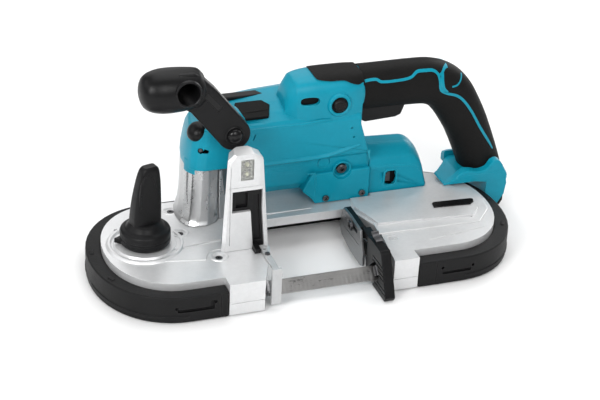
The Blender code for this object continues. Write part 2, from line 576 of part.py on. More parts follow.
# motor, axis along X
rotor = turned("motor_rotor", [(0, 115), (2.7, 115), (2.7, 84), (3.7, 84), (3.7, 72), (11.8, 70), (11.8, 36), (9.0, 33), (9.0, 20),
                               (3.7, 20), (3.7, 4), (0, 4)],
               (-25.0, MOTOR_Y, MOTOR_Z), (1, 0, 0), 24, COPPER)
origin_at(rotor, 20.0, MOTOR_Y, MOTOR_Z)
stator = turned("motor_stator", [(12.3, 74), (18.0, 74), (18.0, 30), (12.3, 30)], (-25.0, MOTOR_Y, MOTOR_Z), (1, 0, 0), 24,
                DARK_STEEL, closed=True)

# ======================================================== teal motor housing
def housing_section(x, s=0.0, top=124.0, low=44.0, grow=0.0):
    """Rounded eight-sided section at x; s insets it."""
    y0, y1 = 28.0 + s, 98.0 - s
    pts = [(y0, 76.0), (y0, 110.0), (y0 + 3, 113.5), (y0 + 12, top - 5 - s), (y0 + 24, top - 1 - s), (y1 - 22, top - s), (y1 - 9, top - 5 - s),
           (y1 - 1, 104.0), (y1, 96.0), (y1, 62.0), (y1 - 4, 52.0), (y1 - 14, low - 2 + s), (y1 - 20, low - 5 + s),
           (y0 + 20, low - 5 + s), (y0 + 12, low - 2 + s), (y0 + 6.5, low + 6 + s), (y0 + 3.2, 68.0), (y0 + 2.8, 73.5)]
    return [Vector((x, y, z)) for y, z in pts]

housing = loft("motor_housing", [housing_section(-57.0, 0.5, 118.5), housing_section(-54.0, 0.0, 119.5), housing_section(-20.0, 0.0, 123.5),
                                 housing_section(10.0, 0.0, 125.5), housing_section(69.0, 0.0, 122.0), housing_section(72.0, 1.0, 120.0)], TEAL)
boolean(housing, [prism("t", [(61.9, 150.0), (60.8, 104.0), (72.6, 66.0), (95.0, 66.0), (95.0, 150.0)], 0, 130, "Y")])
foot = prism("t", [(18.5, 36.0), (22.5, 30.4), (72.0, 30.4), (72.0, 60.0), (18.0, 60.0), (10.0, 44.0)], 28.6, 84.0, "Y")
hump = loft("t", [[Vector((x, HANDLE_Y + hy * a, zc + hz * b)) for a, b in
                   ((-1, -1), (-1, 0.35), (-0.72, 0.8), (-0.3, 1), (0.3, 1), (0.72, 0.8), (1, 0.35), (1, -1))]
                  for x, hy, zc, hz in ((-6.0, 13.0, 110.0, 18.0), (-3.2, 15.0, 113.0, 23.0), (1.0, 17.5, 117.0, 25.0), (5.0, 19.0, 119.5, 26.0),
                                        (19.0, 20.5, 121.0, 26.7), (48.0, 20.5, 121.0, 27.0), (61.9, 18.0, 126.5, 21.0))])
boolean(housing, [foot, hump], "UNION")
void_m = loft("t", [housing_section(-53.5, 3.0, 118.0), housing_section(-20.0, 3.0, 121.0), housing_section(52.0, 3.0, 119.5)])
boolean(housing, [rod("t", 6.5, (48.0, MOTOR_Y, MOTOR_Z), (80.0, MOTOR_Y, MOTOR_Z), 20), void_m])
h_screws = [("housing_screw_a", 31.5, 28.0, 35.4), ("housing_screw_b", 65.0, 28.0, 36.4)]
boolean(housing, [turned("t", [(0, 6), (3.4, 6), (3.4, -0.4), (0, -0.4)], (x, 28.2, z), (0, -1, 0), 14) for _, x, y, z in h_screws])
for nm, x, y, z in h_screws:
    turned(nm, [(0, 1.6), (2.6, 1.6), (3.0, 1.2), (3.0, 0.0), (0, 0.0)], (x, 28.2, z), (0, -1, 0), 14, DARK_STEEL)

# cap over the pillar at the front end of the housing
cap_out = [(-57.6, 70), (-57.6, 14.0), (-63, 12.0), (-83, 12.0), (-89.5, 14.5), (-94, 20), (-96.2, 28), (-96.0, 40), (-92.5, 56), (-84, 70)]
front_cap = prism("housing_front_cap", cap_out, 84.9, 121.0, mat=TEAL)
for v in front_cap.data.vertices:                  # its top leans back and inwards
    if v.co.z / MM > 115:
        x, y = v.co.x / MM - OX, v.co.y / MM - OY
        v.co.x = ((x + (6.0 if x < -80 else 0.0)) + OX) * MM
        v.co.y = ((y + (4.0 if y < 30 else -3.0)) + OY) * MM
pivot_bore = turned("t", [(0, 40), (4.4, 40), (4.4, -5), (0, -5)], (BOSS[0], 30.0, BOSS[1]), (0, -1, 0), 20)
ear = turned("t", [(0, 13.5), (14.5, 13.5), (14.5, 0), (0, 0)], (BOSS[0], 26.0, BOSS[1]), (0, -1, 0), 24)
boolean(front_cap, [ear], "UNION")
boolean(front_cap, [pivot_bore])
boolean(front_cap, [turned("t", [(0, 14), (9.0, 14), (9.0, -2.3), (0, -2.3)], (-87.6, 24.2, 117.6), (-0.66, -0.36, 0.66), 20)])
brush_cap = turned("brush_cap", [(0, 4.6), (4.5, 4.0), (7.4, 2.2), (8.6, -0.4), (8.6, -2.0), (0, -2.0)], (-87.6, 24.2, 117.6), (-0.66, -0.36, 0.66), 20, BLACK)

# trim of the housing
def pad_shape(name, grow, lo, hi, mat=None):
    pts = [(-17 - grow, 0), (-12 - grow * 0.6, 10 + grow), (11 + grow * 0.6, 10 + grow), (16.5 + grow, 4), (12 + grow, -10 - grow),
           (-9 - grow * 0.6, -10 - grow)]
    ob = prism(name, pts, lo, hi, "Z", mat=mat)
    back = Matrix.Translation(Vector((-OX, -OY, 0)) * MM)
    place = Matrix.Translation(Vector((-33.0 + OX, 45.0 + OY, 119.6)) * MM) @ Matrix.Rotation(math.radians(19.0), 4, "X")
    ob.data.transform(place @ back)
    return ob
pad = pad_shape("housing_pad", 0.0, -1.4, 1.6, RUBBER)
boolean(housing, [pad_shape("t", 0.4, -1.8, 9.0)])

# ---- gear case
def case_ring(x, d, w=0.0):
    pts = ((33.0, 30.5), (33.0, 58.0 - d), (36.0, 65.5 - d), (43.0, 70.5 - d), (50.0, 73.4 - d), (62.0, 73.8 - d), (66.5, 71.0 - d), (76.0, 63.5 - d),
           (79.0, 58.0 - d), (79.0, 30.5))
    return [Vector((x, y, z)) for y, z in pts]
case = loft("gear_case", [case_ring(72.6, 0.0), case_ring(112.0, 2.0), case_ring(119.0, 6.0), case_ring(124.5, 14.0)] +
            [[Vector((128.5, y, z)) for y, z in ((33.0, 30.5), (33.0, 33.5), (36.0, 35.0), (43.0, 35.6), (50.0, 36.0), (62.0, 36.0), (66.5, 35.6), (76.0, 35.0),
                                                 (79.0, 33.5), (79.0, 30.5))]], TEAL)
boolean(case, [loft("t", [[Vector((x, y, z)) for y, z in ((36.0, 29.0), (36.0, 57.0 - d), (38.5, 63.8 - d), (44.5, 68.6 - d), (50.5, 71.9 - d), (61.6, 72.2 - d),
                                                          (65.4, 69.4 - d), (74.0, 62.2 - d), (76.6, 57.0 - d), (76.6, 29.0))]
                          for x, d in ((72.0, 0.0), (110.0, 2.0), (122.0, 14.5))])])
case_window = turned("case_window", [(0, 0.9), (5.6, 0.9), (6.2, 0.3), (0, 0.3)], (93.2, 33.0, 45.5), (0, -1, 0), 20, BLACK)

# ================================================================ D handle
PATH = [(62.6, 128.5), (86, 128.5), (110, 128.5), (128, 127.3), (142, 121.5), (152, 111.5), (160.5, 98.5), (168.5, 84), (176.5, 66), (183, 50), (187.5, 37.5)]
def handle_rings(a, b, extra=0.0, n=20, scale=None):
    rings = []
    for i, (x, z) in enumerate(PATH):
        p0 = PATH[max(0, i - 1)]
        p1 = PATH[min(len(PATH) - 1, i + 1)]
        d = Vector((p1[0] - p0[0], 0, p1[1] - p0[1])).normalized()
        u = Vector((d.z, 0, -d.x)) * -1.0                    # outwards, in the handle's plane
        aa = a[i] if isinstance(a, (list, tuple)) else a
        off = d * (-extra if i == 0 else (extra if i == len(PATH) - 1 else 0))
        rings.append(oval_ring(Vector((x, HANDLE_Y, z)) + off, u, (0, 1, 0), aa, b, n))
    return rings

core = loft("handle_core", handle_rings(14.5, 11.5), TEAL)
boolean(core, [loft("t", handle_rings(12.0, 9.0, extra=2.0, n=16))])
A_OUT = [20.5, 20.5, 20.5, 20.8, 21.2, 21.2, 20.6, 20.0, 19.6, 19.4, 19.4]
grip = loft("grip_outer", handle_rings(A_OUT, 17.0), BLACK)
boolean(grip, [loft("t", handle_rings(14.8, 11.8, extra=2.0))])
def grip_half(name, keep_outer):
    g = grip.copy()
    g.data = grip.data.copy()
    g.name = name
    PARTS.objects.link(g)
    sgn = 1.0 if keep_outer else -1.0
    far = []
    near = []
    for i, (x, z) in enumerate(PATH):
        p0 = PATH[max(0, i - 1)]
        p1 = PATH[min(len(PATH) - 1, i + 1)]
        d = Vector((p1[0] - p0[0], 0, p1[1] - p0[1])).normalized()
        u = Vector((-d.z, 0, d.x))
        ext = d * (-4 if i == 0 else (4 if i == len(PATH) - 1 else 0))
        near.append((x + ext.x + u.x * (3.2 - sgn * -1.0), z + ext.z + u.z * (3.2 - sgn * -1.0)))
        k = 1.0 - 0.0
        far.append((x + ext.x - sgn * u.x * (26.0 if keep_outer else 30.0), z + ext.z - sgn * u.z * (26.0 if keep_outer else 30.0)))
    cutter = prism("t", near + list(reversed(far)), HANDLE_Y - 30, HANDLE_Y + 30, "Y")
    boolean(g, [cutter])
    return g

outer = grip_half("handle_grip_outer", True)
inner = grip_half("handle_grip_inner", False)
bpy.data.objects.remove(grip, do_unlink=True)
# slot of the trigger through grip and core
boolean(inner, [box("t", 62.0, 106.0, 38.5, 61.5, 100, 122)])
boolean(core, [box("t", 62.0, 106.0, 39.3, 60.7, 108, 120.2)])
boolean(core, [box("t", 66.0, 102.0, 43.0, 57.0, 108, 136.4)])
trigger = prism("trigger", [(63.4, 113.0), (62.6, 106.5), (65.5, 99.8), (70, 98.6), (97.0, 100.3), (102.0, 102.2), (105.0, 110.6), (105.0, 113.5)],
                40.0, 60.0, "Y", mat=BLACK)
boolean(trigger, [box("t", 70.0, 96.0, 44.0, 56.0, 106.0, 115.0)])
origin_at(trigger, 84.0, HANDLE_Y, 106.0)
switch = box("trigger_switch", 67.0, 101.0, 44.0, 56.0, 122.2, 136.0, BLACK)
# return spring between switch and trigger
def coil(name, x, y, z0, z1, r, wire, turns, mat):
    cu = bpy.data.curves.new(name, "CURVE")
    cu.dimensions = "3D"
    cu.bevel_depth = wire * MM
    cu.bevel_resolution = 2
    cu.use_fill_caps = True
    n = turns * 8
    sp = cu.splines.new("POLY")
    sp.points.add(n)
    for i in range(n + 1):
        a = 2 * math.pi * i / 8
        sp.points[i].co = ((x + OX + r * math.cos(a)) * MM, (y + OY + r * math.sin(a)) * MM, (z0 + (z1 - z0) * i / n) * MM, 1)
    tmp = bpy.data.objects.new(name + "_c", cu)
    PARTS.objects.link(tmp)
    me = evaluated_mesh(tmp)
    bpy.data.objects.remove(tmp, do_unlink=True)
    tidy(me)
    return new_object(name, me, mat)
spring = coil("trigger_spring", 83.0, HANDLE_Y, 107.2, 121.2, 3.6, 0.45, 4, STEEL)

button = turned("lock_off_button", [(0, 3.6), (4.6, 3.4), (6.0, 2.4), (6.3, 1.2), (6.3, -6.0), (0, -6.0)], (39.6, 29.3, 124.0), (0, -1, 0), 24, BLACK)
boolean(housing, [turned("t", [(0, 12), (7.0, 12), (7.0, -12), (0, -12)], (39.6, 28.0, 124.0), (0, -1, 0), 24)])
origin_at(button, 39.6, 29.3, 124.0)

# base of the handle, which carries the battery rail
base = prism("battery_base", [(184.9, 8.0), (198.0, 8.0), (203.6, 17.0), (205.0, 28.0), (203.2, 37.0), (200.0, 40.5), (160.0, 40.5), (154.5, 37.6), (143.5, 35.4), (143.0, 33.6),
                              (184.9, 33.6)], 26.0, 96.0, "Y", mat=TEAL)
boolean(base, [prism("t", [(138, 46), (146, 50), (158, 62), (170, 71), (184.5, 76), (184.5, 100), (138, 100)], 28.0, 46.0)])
soften(base, 2.5, 2, 30)
cut_grip = prism("t", [(150, 0), (212, 0), (212, 41.0), (150, 41.0)], 20, 80, "Y")
for g in (outer, inner, core):
    c2 = cut_grip.copy()
    c2.data = cut_grip.data.copy()
    PARTS.objects.link(c2)
    boolean(g, [c2])
bpy.data.objects.remove(cut_grip, do_unlink=True)
rail = prism("battery_rail", [(188.5, 2.4), (203.5, 2.4), (206.0, 7.0), (206.0, 26.0), (205.4, 26.0), (203.9, 16.8), (198.2, 7.7), (188.5, 7.7)], 32.0, 90.0, "Y", mat=BLACK)

# ====================================================== front handle (swings)
arm_pts = [(BOSS[0] + 13.8 * math.cos(a), BOSS[1] + 13.8 * math.sin(a)) for a in [math.radians(t) for t in range(-150, 46, 15)]]
arm_pts += [(-77.5, 164.5), (-90.0, 177.5), (-96, 181.5), (-110, 182.0), (-114, 152), (-105.5, 152.0), (-99.0, 147.5)]
arm = prism("front_handle", arm_pts, -2.6, 11.6, "Y", mat=BLACK)
pommel = turned("t", [(0, 0.0), (6, 0.6), (12, 3.2), (15.6, 8.0), (17.7, 15), (18.3, 22), (18.1, 30), (17.2, 40), (15.8, 49), (12.6, 52), (0, 52)],
                (-139.5, 7.0, 165.4), (1, 0, 0), 28)
boolean(arm, [pommel], "UNION")
boolean(arm, [turned("t", [(0, 30), (9.3, 30), (9.3, -16), (0, -16)], (-103.4, 4.0, 168.4), (0, -1, 0), 28),
              turned("t", [(0, 40), (4.4, 40), (4.4, -10), (0, -10)], (BOSS[0], 20.0, BOSS[1]), (0, -1, 0), 20)])
origin_at(arm, BOSS[0], 4.0, BOSS[1])
bolt = turned("pivot_bolt", [(0, 1.6), (4.5, 1.4), (6.4, 0.2), (6.4, -2.0), (4.0, -2.0), (4.0, -24.0), (0, -24.0)], (BOSS[0], -4.9, BOSS[1]), (0, -1, 0), 20, STEEL)
origin_at(bolt, BOSS[0], -4.0, BOSS[1])

# ================================================================= guides
def roller(name, x, sgn):
    c = Vector((x, -62.0, 11.5)) + Vector((0, -s45, s45)) * (sgn * 5.65)
    ob = turned(name, [(0, 5.0), (2.0, 5.0), (2.0, 4.2), (5.0, 4.2), (5.0, -4.2), (2.0, -4.2), (2.0, -5.0), (0, -5.0)], c,
                (0, -s45, -s45), 18, STEEL)
    return origin_at(ob, c.x, c.y, c.z)
roller("front_roller_a", -50.6, 1)
roller("front_roller_b", -50.6, -1)
roller("rear_roller_a", 46.3, 1)
roller("rear_roller_b", 46.3, -1)

plate = prism("name_plate", [(118.6, -8.4), (152.0, -11.0), (156.6, -7.5), (158.0, -3.0), (156.0, -1.4), (121.6, 0.4), (119.4, -1.6)], 33.3, 34.0, mat=BLACK)

largest_island(deck)
for o in list(PARTS.objects):
    if o.type == "MESH":
        smooth(o)
        o.data.validate()
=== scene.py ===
"""Looks of the portable band saw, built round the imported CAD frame."""
import bpy
import bmesh
import json
import math
import random
from mathutils import Matrix, Vector
from mathutils.bvhtree import BVHTree

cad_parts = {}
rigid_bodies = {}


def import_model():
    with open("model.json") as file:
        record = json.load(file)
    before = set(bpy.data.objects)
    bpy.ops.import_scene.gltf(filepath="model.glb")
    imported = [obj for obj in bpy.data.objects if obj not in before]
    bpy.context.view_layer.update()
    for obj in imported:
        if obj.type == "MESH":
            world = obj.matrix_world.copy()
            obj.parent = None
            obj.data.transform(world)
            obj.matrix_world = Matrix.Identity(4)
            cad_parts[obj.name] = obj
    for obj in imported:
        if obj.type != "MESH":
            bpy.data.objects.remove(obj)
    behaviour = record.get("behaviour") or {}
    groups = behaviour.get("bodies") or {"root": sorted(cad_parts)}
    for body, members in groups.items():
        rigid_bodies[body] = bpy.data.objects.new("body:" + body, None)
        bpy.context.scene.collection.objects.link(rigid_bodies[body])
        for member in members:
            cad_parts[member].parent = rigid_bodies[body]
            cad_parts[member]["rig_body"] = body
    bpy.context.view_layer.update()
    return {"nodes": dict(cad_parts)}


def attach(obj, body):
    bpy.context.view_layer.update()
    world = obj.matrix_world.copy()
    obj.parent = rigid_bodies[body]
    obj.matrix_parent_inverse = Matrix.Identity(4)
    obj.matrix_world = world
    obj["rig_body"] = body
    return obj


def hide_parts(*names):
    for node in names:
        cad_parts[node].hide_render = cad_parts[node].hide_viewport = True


for _o in list(bpy.data.objects):
    bpy.data.objects.remove(_o, do_unlink=True)
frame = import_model()
NODES = frame["nodes"]
PARTS = bpy.context.scene.collection
random.seed(7)

# ---- driving dimensions (mm) ----
DECK_C = 117.0                 # centre of each rounded end along X
DECK_RX, DECK_RY = 67.5, 77.5  # semi-axes of each rounded end
DECK_N = 2.11                  # roundness exponent of the ends
RIM = 12.8                     # width of the bumper's top ledge
DECK_TOP = 30.0
DECK_UNDER = 22.0
BUMPER_TOP = 24.0
THROAT_L, THROAT_R = -38.0, 49.0
SPINE_FRONT = 15.0
WHEEL_X = 107.0                # wheel centres at +-X
WHEEL_R = 62.0                 # radius the blade runs on
WHEEL_Z0, WHEEL_Z1 = 5.0, 18.0
BLADE_W, BLADE_T = 13.0, 0.6
KNOB = (-136.0, 2.0)
BOSS = (-62.5, 123.5)          # front handle pivot, X and Z
MOTOR_Y, MOTOR_Z = 57.0, 64.0
LAY_X, LAY_Y = 100.0, 57.0     # upright lay shaft
GEAR_TEETH, PINION_TEETH = 36, 12
HANDLE_Y = 50.0
GAP = 0.3
MM = 0.001
OX, OY = -10.75, -3.0
def evaluated_mesh(ob):
    bpy.context.view_layer.update()
    dg = bpy.context.evaluated_depsgraph_get()
    dg.update()
    return bpy.data.meshes.new_from_object(ob.evaluated_get(dg))

def new_object(name, me, mat=None):
    ob = bpy.data.objects.new(name, me)
    PARTS.objects.link(ob)
    if mat is not None:
        ob.data.materials.clear()
        ob.data.materials.append(mat)
    return ob

def tidy(me, dist=1e-6, flat=True):
    bm = bmesh.new()
    bm.from_mesh(me)
    bmesh.ops.remove_doubles(bm, verts=bm.verts, dist=dist)
    bmesh.ops.dissolve_degenerate(bm, edges=bm.edges, dist=1e-7)
    if flat:                                          # one face for each flat side
        bmesh.ops.dissolve_limit(bm, angle_limit=math.radians(0.05), verts=bm.verts, edges=bm.edges)
    bmesh.ops.recalc_face_normals(bm, faces=bm.faces)
    bm.to_mesh(me)
    bm.free()

def apply_modifiers(ob):
    me = evaluated_mesh(ob)
    ob.modifiers.clear()
    mats = [m for m in ob.data.materials]
    ob.data = me
    if not me.materials:
        for m in mats:
            me.materials.append(m)
    return ob

def volume(me):
    bm = bmesh.new()
    bm.from_mesh(me)
    bmesh.ops.recalc_face_normals(bm, faces=bm.faces)
    v = abs(bm.calc_volume(signed=True))
    bm.free()
    return v

def boolean(ob, tools, op="DIFFERENCE"):
    """Cut or join; a result whose volume can't be right is taken again another way."""
    if not isinstance(tools, (list, tuple)):
        tools = [tools]
    for t in tools:
        v0, vt = volume(ob.data), volume(t.data)
        lo, hi = {"DIFFERENCE": (v0 - vt * 1.01, v0), "UNION": (max(v0, vt), v0 + vt), "INTERSECT": (0.0, min(v0, vt))}[op]
        tol = 0.002 * v0 + 1e-12
        kept = False
        for solver, own in (("EXACT", False), ("MANIFOLD", False), ("EXACT", True)):
            md = ob.modifiers.new("b", "BOOLEAN")
            md.operation = op
            md.object = t
            md.solver = solver
            if own:
                md.use_self = True
            me = evaluated_mesh(ob)
            ob.modifiers.clear()
            tidy(me, 4e-6, False)
            v = volume(me)
            if len(me.polygons) and lo - tol <= v <= hi + tol and (op != "INTERSECT" or v > 0):
                mats = [m for m in ob.data.materials]
                ob.data = me
                if not me.materials:
                    for m in mats:
                        me.materials.append(m)
                kept = True
                break
            print("RETRY", ob.name, solver, own, op, v0 * 1e9, vt * 1e9, v * 1e9)
        if not kept:
            print("SKIPPED", ob.name)
    for t in tools:
        bpy.data.objects.remove(t, do_unlink=True)
    return ob
AXES = {
    "Z": Matrix(((1, 0, 0), (0, 1, 0), (0, 0, 1))),
    "Y": Matrix(((1, 0, 0), (0, 0, -1), (0, 1, 0))),
    "X": Matrix(((0, 0, 1), (1, 0, 0), (0, 1, 0))),
}

def prism(name, outline, lo, hi, axis="Z", holes=(), mat=None):
    """Flat outline pushed from lo to hi along an axis.  The outline is in
    (x, y) for Z, (x, z) for Y and (y, z) for X."""
    cu = bpy.data.curves.new(name + "_outline", "CURVE")
    cu.dimensions = "2D"
    cu.fill_mode = "BOTH"
    cu.extrude = (hi - lo) / 2.0 * MM
    for pts in (outline,) + tuple(holes):
        sp = cu.splines.new("POLY")
        sp.points.add(len(pts) - 1)
        for p, q in zip(sp.points, pts):
            p.co = (q[0] * MM, q[1] * MM, 0.0, 1.0)
        sp.use_cyclic_u = True
    tmp = bpy.data.objects.new(name + "_outline", cu)
    PARTS.objects.link(tmp)
    me = evaluated_mesh(tmp)
    bpy.data.objects.remove(tmp, do_unlink=True)
    mid = (lo + hi) / 2.0
    off = {"Z": (OX, OY, mid), "Y": (OX, mid + OY, 0.0), "X": (mid + OX, OY, 0.0)}[axis]
    me.transform(Matrix.Translation(Vector(off) * MM) @ AXES[axis].to_4x4())
    tidy(me)
    return new_object(name, me, mat)

def box(name, x0, x1, y0, y1, z0, z1, mat=None):
    bm = bmesh.new()
    bmesh.ops.create_cube(bm, size=1.0)
    for v in bm.verts:
        v.co = Vector(((x0 if v.co.x < 0 else x1) + OX, (y0 if v.co.y < 0 else y1) + OY,
                       z0 if v.co.z < 0 else z1)) * MM
    me = bpy.data.meshes.new(name)
    bm.to_mesh(me)
    bm.free()
    return new_object(name, me, mat)

def turned(name, profile, centre, axis=(0, 0, 1), steps=32, mat=None, closed=False):
    """Profile of (radius, height) points turned about an axis through centre."""
    me = bpy.data.meshes.new(name)
    verts = [(r * MM, 0.0, h * MM) for r, h in profile]
    edges = [(i, i + 1) for i in range(len(verts) - 1)]
    if closed:
        edges.append((len(verts) - 1, 0))
    me.from_pydata(verts, edges, [])
    ob = new_object(name, me)
    md = ob.modifiers.new("screw", "SCREW")
    md.axis = "Z"
    md.steps = steps
    md.render_steps = steps
    md.use_merge_vertices = True
    md.merge_threshold = 1e-6
    apply_modifiers(ob)
    rot = Vector((0, 0, 1)).rotation_difference(Vector(axis).normalized()).to_matrix().to_4x4()
    c = Vector((centre[0] + OX, centre[1] + OY, centre[2])) * MM
    ob.data.transform(Matrix.Translation(c) @ rot)
    tidy(ob.data)
    if mat is not None:
        ob.data.materials.clear()
        ob.data.materials.append(mat)
    return ob

def rod(name, radius, a, b, steps=24, mat=None):
    a, b = Vector(a), Vector(b)
    n = (b - a).length
    return turned(name, [(0, n), (radius, n), (radius, 0), (0, 0)], a, (b - a), steps, mat)

def loft(name, rings, mat=None):
    """Closed skin through rings of equal point count, mm in the deck frame."""
    bm = bmesh.new()
    rows = [[bm.verts.new(Vector((p[0] + OX, p[1] + OY, p[2])) * MM) for p in r] for r in rings]
    n = len(rings[0])
    for a, b in zip(rows, rows[1:]):
        for i in range(n):
            bm.faces.new((a[i], a[(i + 1) % n], b[(i + 1) % n], b[i]))
    bmesh.ops.triangulate(bm, faces=bm.faces)
    bm.faces.new(rows[0])
    bm.faces.new(rows[-1])
    bmesh.ops.recalc_face_normals(bm, faces=bm.faces)
    me = bpy.data.meshes.new(name)
    bm.to_mesh(me)
    bm.free()
    return new_object(name, me, mat)

def origin_at(ob, x, y, z):
    """Put the object's origin on its joint axis."""
    p = Vector((x + OX, y + OY, z)) * MM
    ob.data.transform(Matrix.Translation(-p))
    ob.location = p
    return ob

def smooth(ob, angle=32.0):
    ob.data.shade_smooth()
    ob.data.set_sharp_from_angle(angle=math.radians(angle))
    return ob

def superarc(side, inset, a0=-90.0, a1=90.0, n=26, c=DECK_C):
    """Rounded end of the deck, from the front round to the rear."""
    rx, ry = DECK_RX - inset, DECK_RY - inset
    out = []
    for i in range(n + 1):
        t = math.radians(a0 + (a1 - a0) * i / n)
        cx, sy = math.cos(t), math.sin(t)
        out.append((side * (c + rx * math.copysign(abs(cx) ** (2 / DECK_N), cx)),
                    ry * math.copysign(abs(sy) ** (2 / DECK_N), sy)))
    return out

def toothed(cx, cy, teeth, r_pitch, add, ded, phase=0.0, duty=0.36):
    pts = []
    for k in range(teeth):
        a = 2 * math.pi * k / teeth + phase
        w = 2 * math.pi / teeth
        for da, r in ((-0.5 * duty - 0.10, r_pitch - ded), (-0.5 * duty + 0.07, r_pitch + add),
                      (0.5 * duty - 0.07, r_pitch + add), (0.5 * duty + 0.10, r_pitch - ded)):
            pts.append((cx + r * math.cos(a + da * w), cy + r * math.sin(a + da * w)))
    return pts

def circle(cx, cy, r, n=24):
    return [(cx + r * math.cos(2 * math.pi * i / n), cy + r * math.sin(2 * math.pi * i / n)) for i in range(n)]

def oval_ring(centre, u, v, a, b, n=20, power=2.3):
    """Rounded section: a along u and b along v."""
    c, u, v = Vector(centre), Vector(u), Vector(v)
    out = []
    for i in range(n):
        t = 2 * math.pi * (i + 0.5) / n
        ct, st = math.cos(t), math.sin(t)
        out.append(c + u * (a * math.copysign(abs(ct) ** (2 / power), ct))
                   + v * (b * math.copysign(abs(st) ** (2 / power), st)))
    return out

def screw(name, x, y, z, r=3.0, depth=7.0, axis=(0, 0, 1), head=2.2):
    return turned(name, [(0, 0), (r, 0), (r, -head), (r * 0.55, -head), (r * 0.55, -depth), (0, -depth)],
                  (x, y, z), axis, 12, DARK_STEEL)

def screw_hole(x, y, z, r=3.0, depth=7.0, axis=(0, 0, 1), head=2.2, lift=3.0):
    g = GAP
    return turned("cut", [(0, lift), (r + g, lift), (r + g, -head - g), (r * 0.55 + g, -head - g),
                          (r * 0.55 + g, -depth - g), (0, -depth - g)], (x, y, z), axis, 12)

s45 = math.sqrt(0.5)
def tilted_slot(name, x0, x1, cy, cz, half_w, half_n):
    """Box whose sides follow the twisted blade: w along its width, n across it."""
    pts = []
    for sw, sn in ((-1, -1), (1, -1), (1, 1), (-1, 1)):
        pts.append((cy + sw * half_w * (-s45) + sn * half_n * (-s45),
                    cz + sw * half_w * (-s45) + sn * half_n * s45))
    return prism(name, pts, x0, x1, "X")


# =================================================================== materials
def _new(nt, kind, **kw):
    n = nt.nodes.new(kind)
    for k, v in kw.items():
        setattr(n, k, v)
    return n

def _put(nt, value, socket):
    if hasattr(value, "is_linked"):
        nt.links.new(value, socket)
    else:
        socket.default_value = value

def _coords(nt, scale=(1, 1, 1), rot=(0, 0, 0)):
    tc = _new(nt, "ShaderNodeTexCoord")
    mp = _new(nt, "ShaderNodeMapping")
    mp.inputs["Scale"].default_value = scale
    mp.inputs["Rotation"].default_value = rot
    nt.links.new(tc.outputs["Object"], mp.inputs["Vector"])
    return mp.outputs["Vector"]

def _noise(nt, vec, scale, detail=3.0, rough=0.55):
    n = _new(nt, "ShaderNodeTexNoise")
    nt.links.new(vec, n.inputs["Vector"])
    n.inputs["Scale"].default_value = scale
    n.inputs["Detail"].default_value = detail
    n.inputs["Roughness"].default_value = rough
    return n.outputs["Fac"]

def _cells(nt, vec, scale, smooth=0.6):
    n = _new(nt, "ShaderNodeTexVoronoi", feature="SMOOTH_F1")
    nt.links.new(vec, n.inputs["Vector"])
    n.inputs["Scale"].default_value = scale
    n.inputs["Smoothness"].default_value = smooth
    return n.outputs["Distance"]

def _range(nt, value, a, b, c, d):
    n = _new(nt, "ShaderNodeMapRange")
    nt.links.new(value, n.inputs["Value"])
    for k, v in zip(("From Min", "From Max", "To Min", "To Max"), (a, b, c, d)):
        _put(nt, v, n.inputs[k])
    return n.outputs["Result"]

def _math(nt, op, a, b=0.0):
    n = _new(nt, "ShaderNodeMath", operation=op)
    _put(nt, a, n.inputs[0])
    _put(nt, b, n.inputs[1])
    return n.outputs[0]

def _mix(nt, fac, a, b):
    n = _new(nt, "ShaderNodeMix", data_type="RGBA")
    _put(nt, fac, n.inputs[0])
    _put(nt, a, n.inputs[6])
    _put(nt, b, n.inputs[7])
    return n.outputs[2]

def _bump(nt, height, strength, dist, normal=None):
    n = _new(nt, "ShaderNodeBump")
    nt.links.new(height, n.inputs["Height"])
    n.inputs["Strength"].default_value = strength
    n.inputs["Distance"].default_value = dist
    if normal is not None:
        nt.links.new(normal, n.inputs["Normal"])
    return n.outputs["Normal"]

def _edge_highlight_mask(nt, radius):
    """1 on edges, where the painted highlight goes, 0 on flats."""
    bv = _new(nt, "ShaderNodeBevel", samples=4)
    bv.inputs["Radius"].default_value = radius
    ge = _new(nt, "ShaderNodeNewGeometry")
    dot = _new(nt, "ShaderNodeVectorMath", operation="DOT_PRODUCT")
    nt.links.new(bv.outputs["Normal"], dot.inputs[0])
    nt.links.new(ge.outputs["Normal"], dot.inputs[1])
    return _range(nt, dot.outputs["Value"], 0.80, 0.985, 1.0, 0.0)

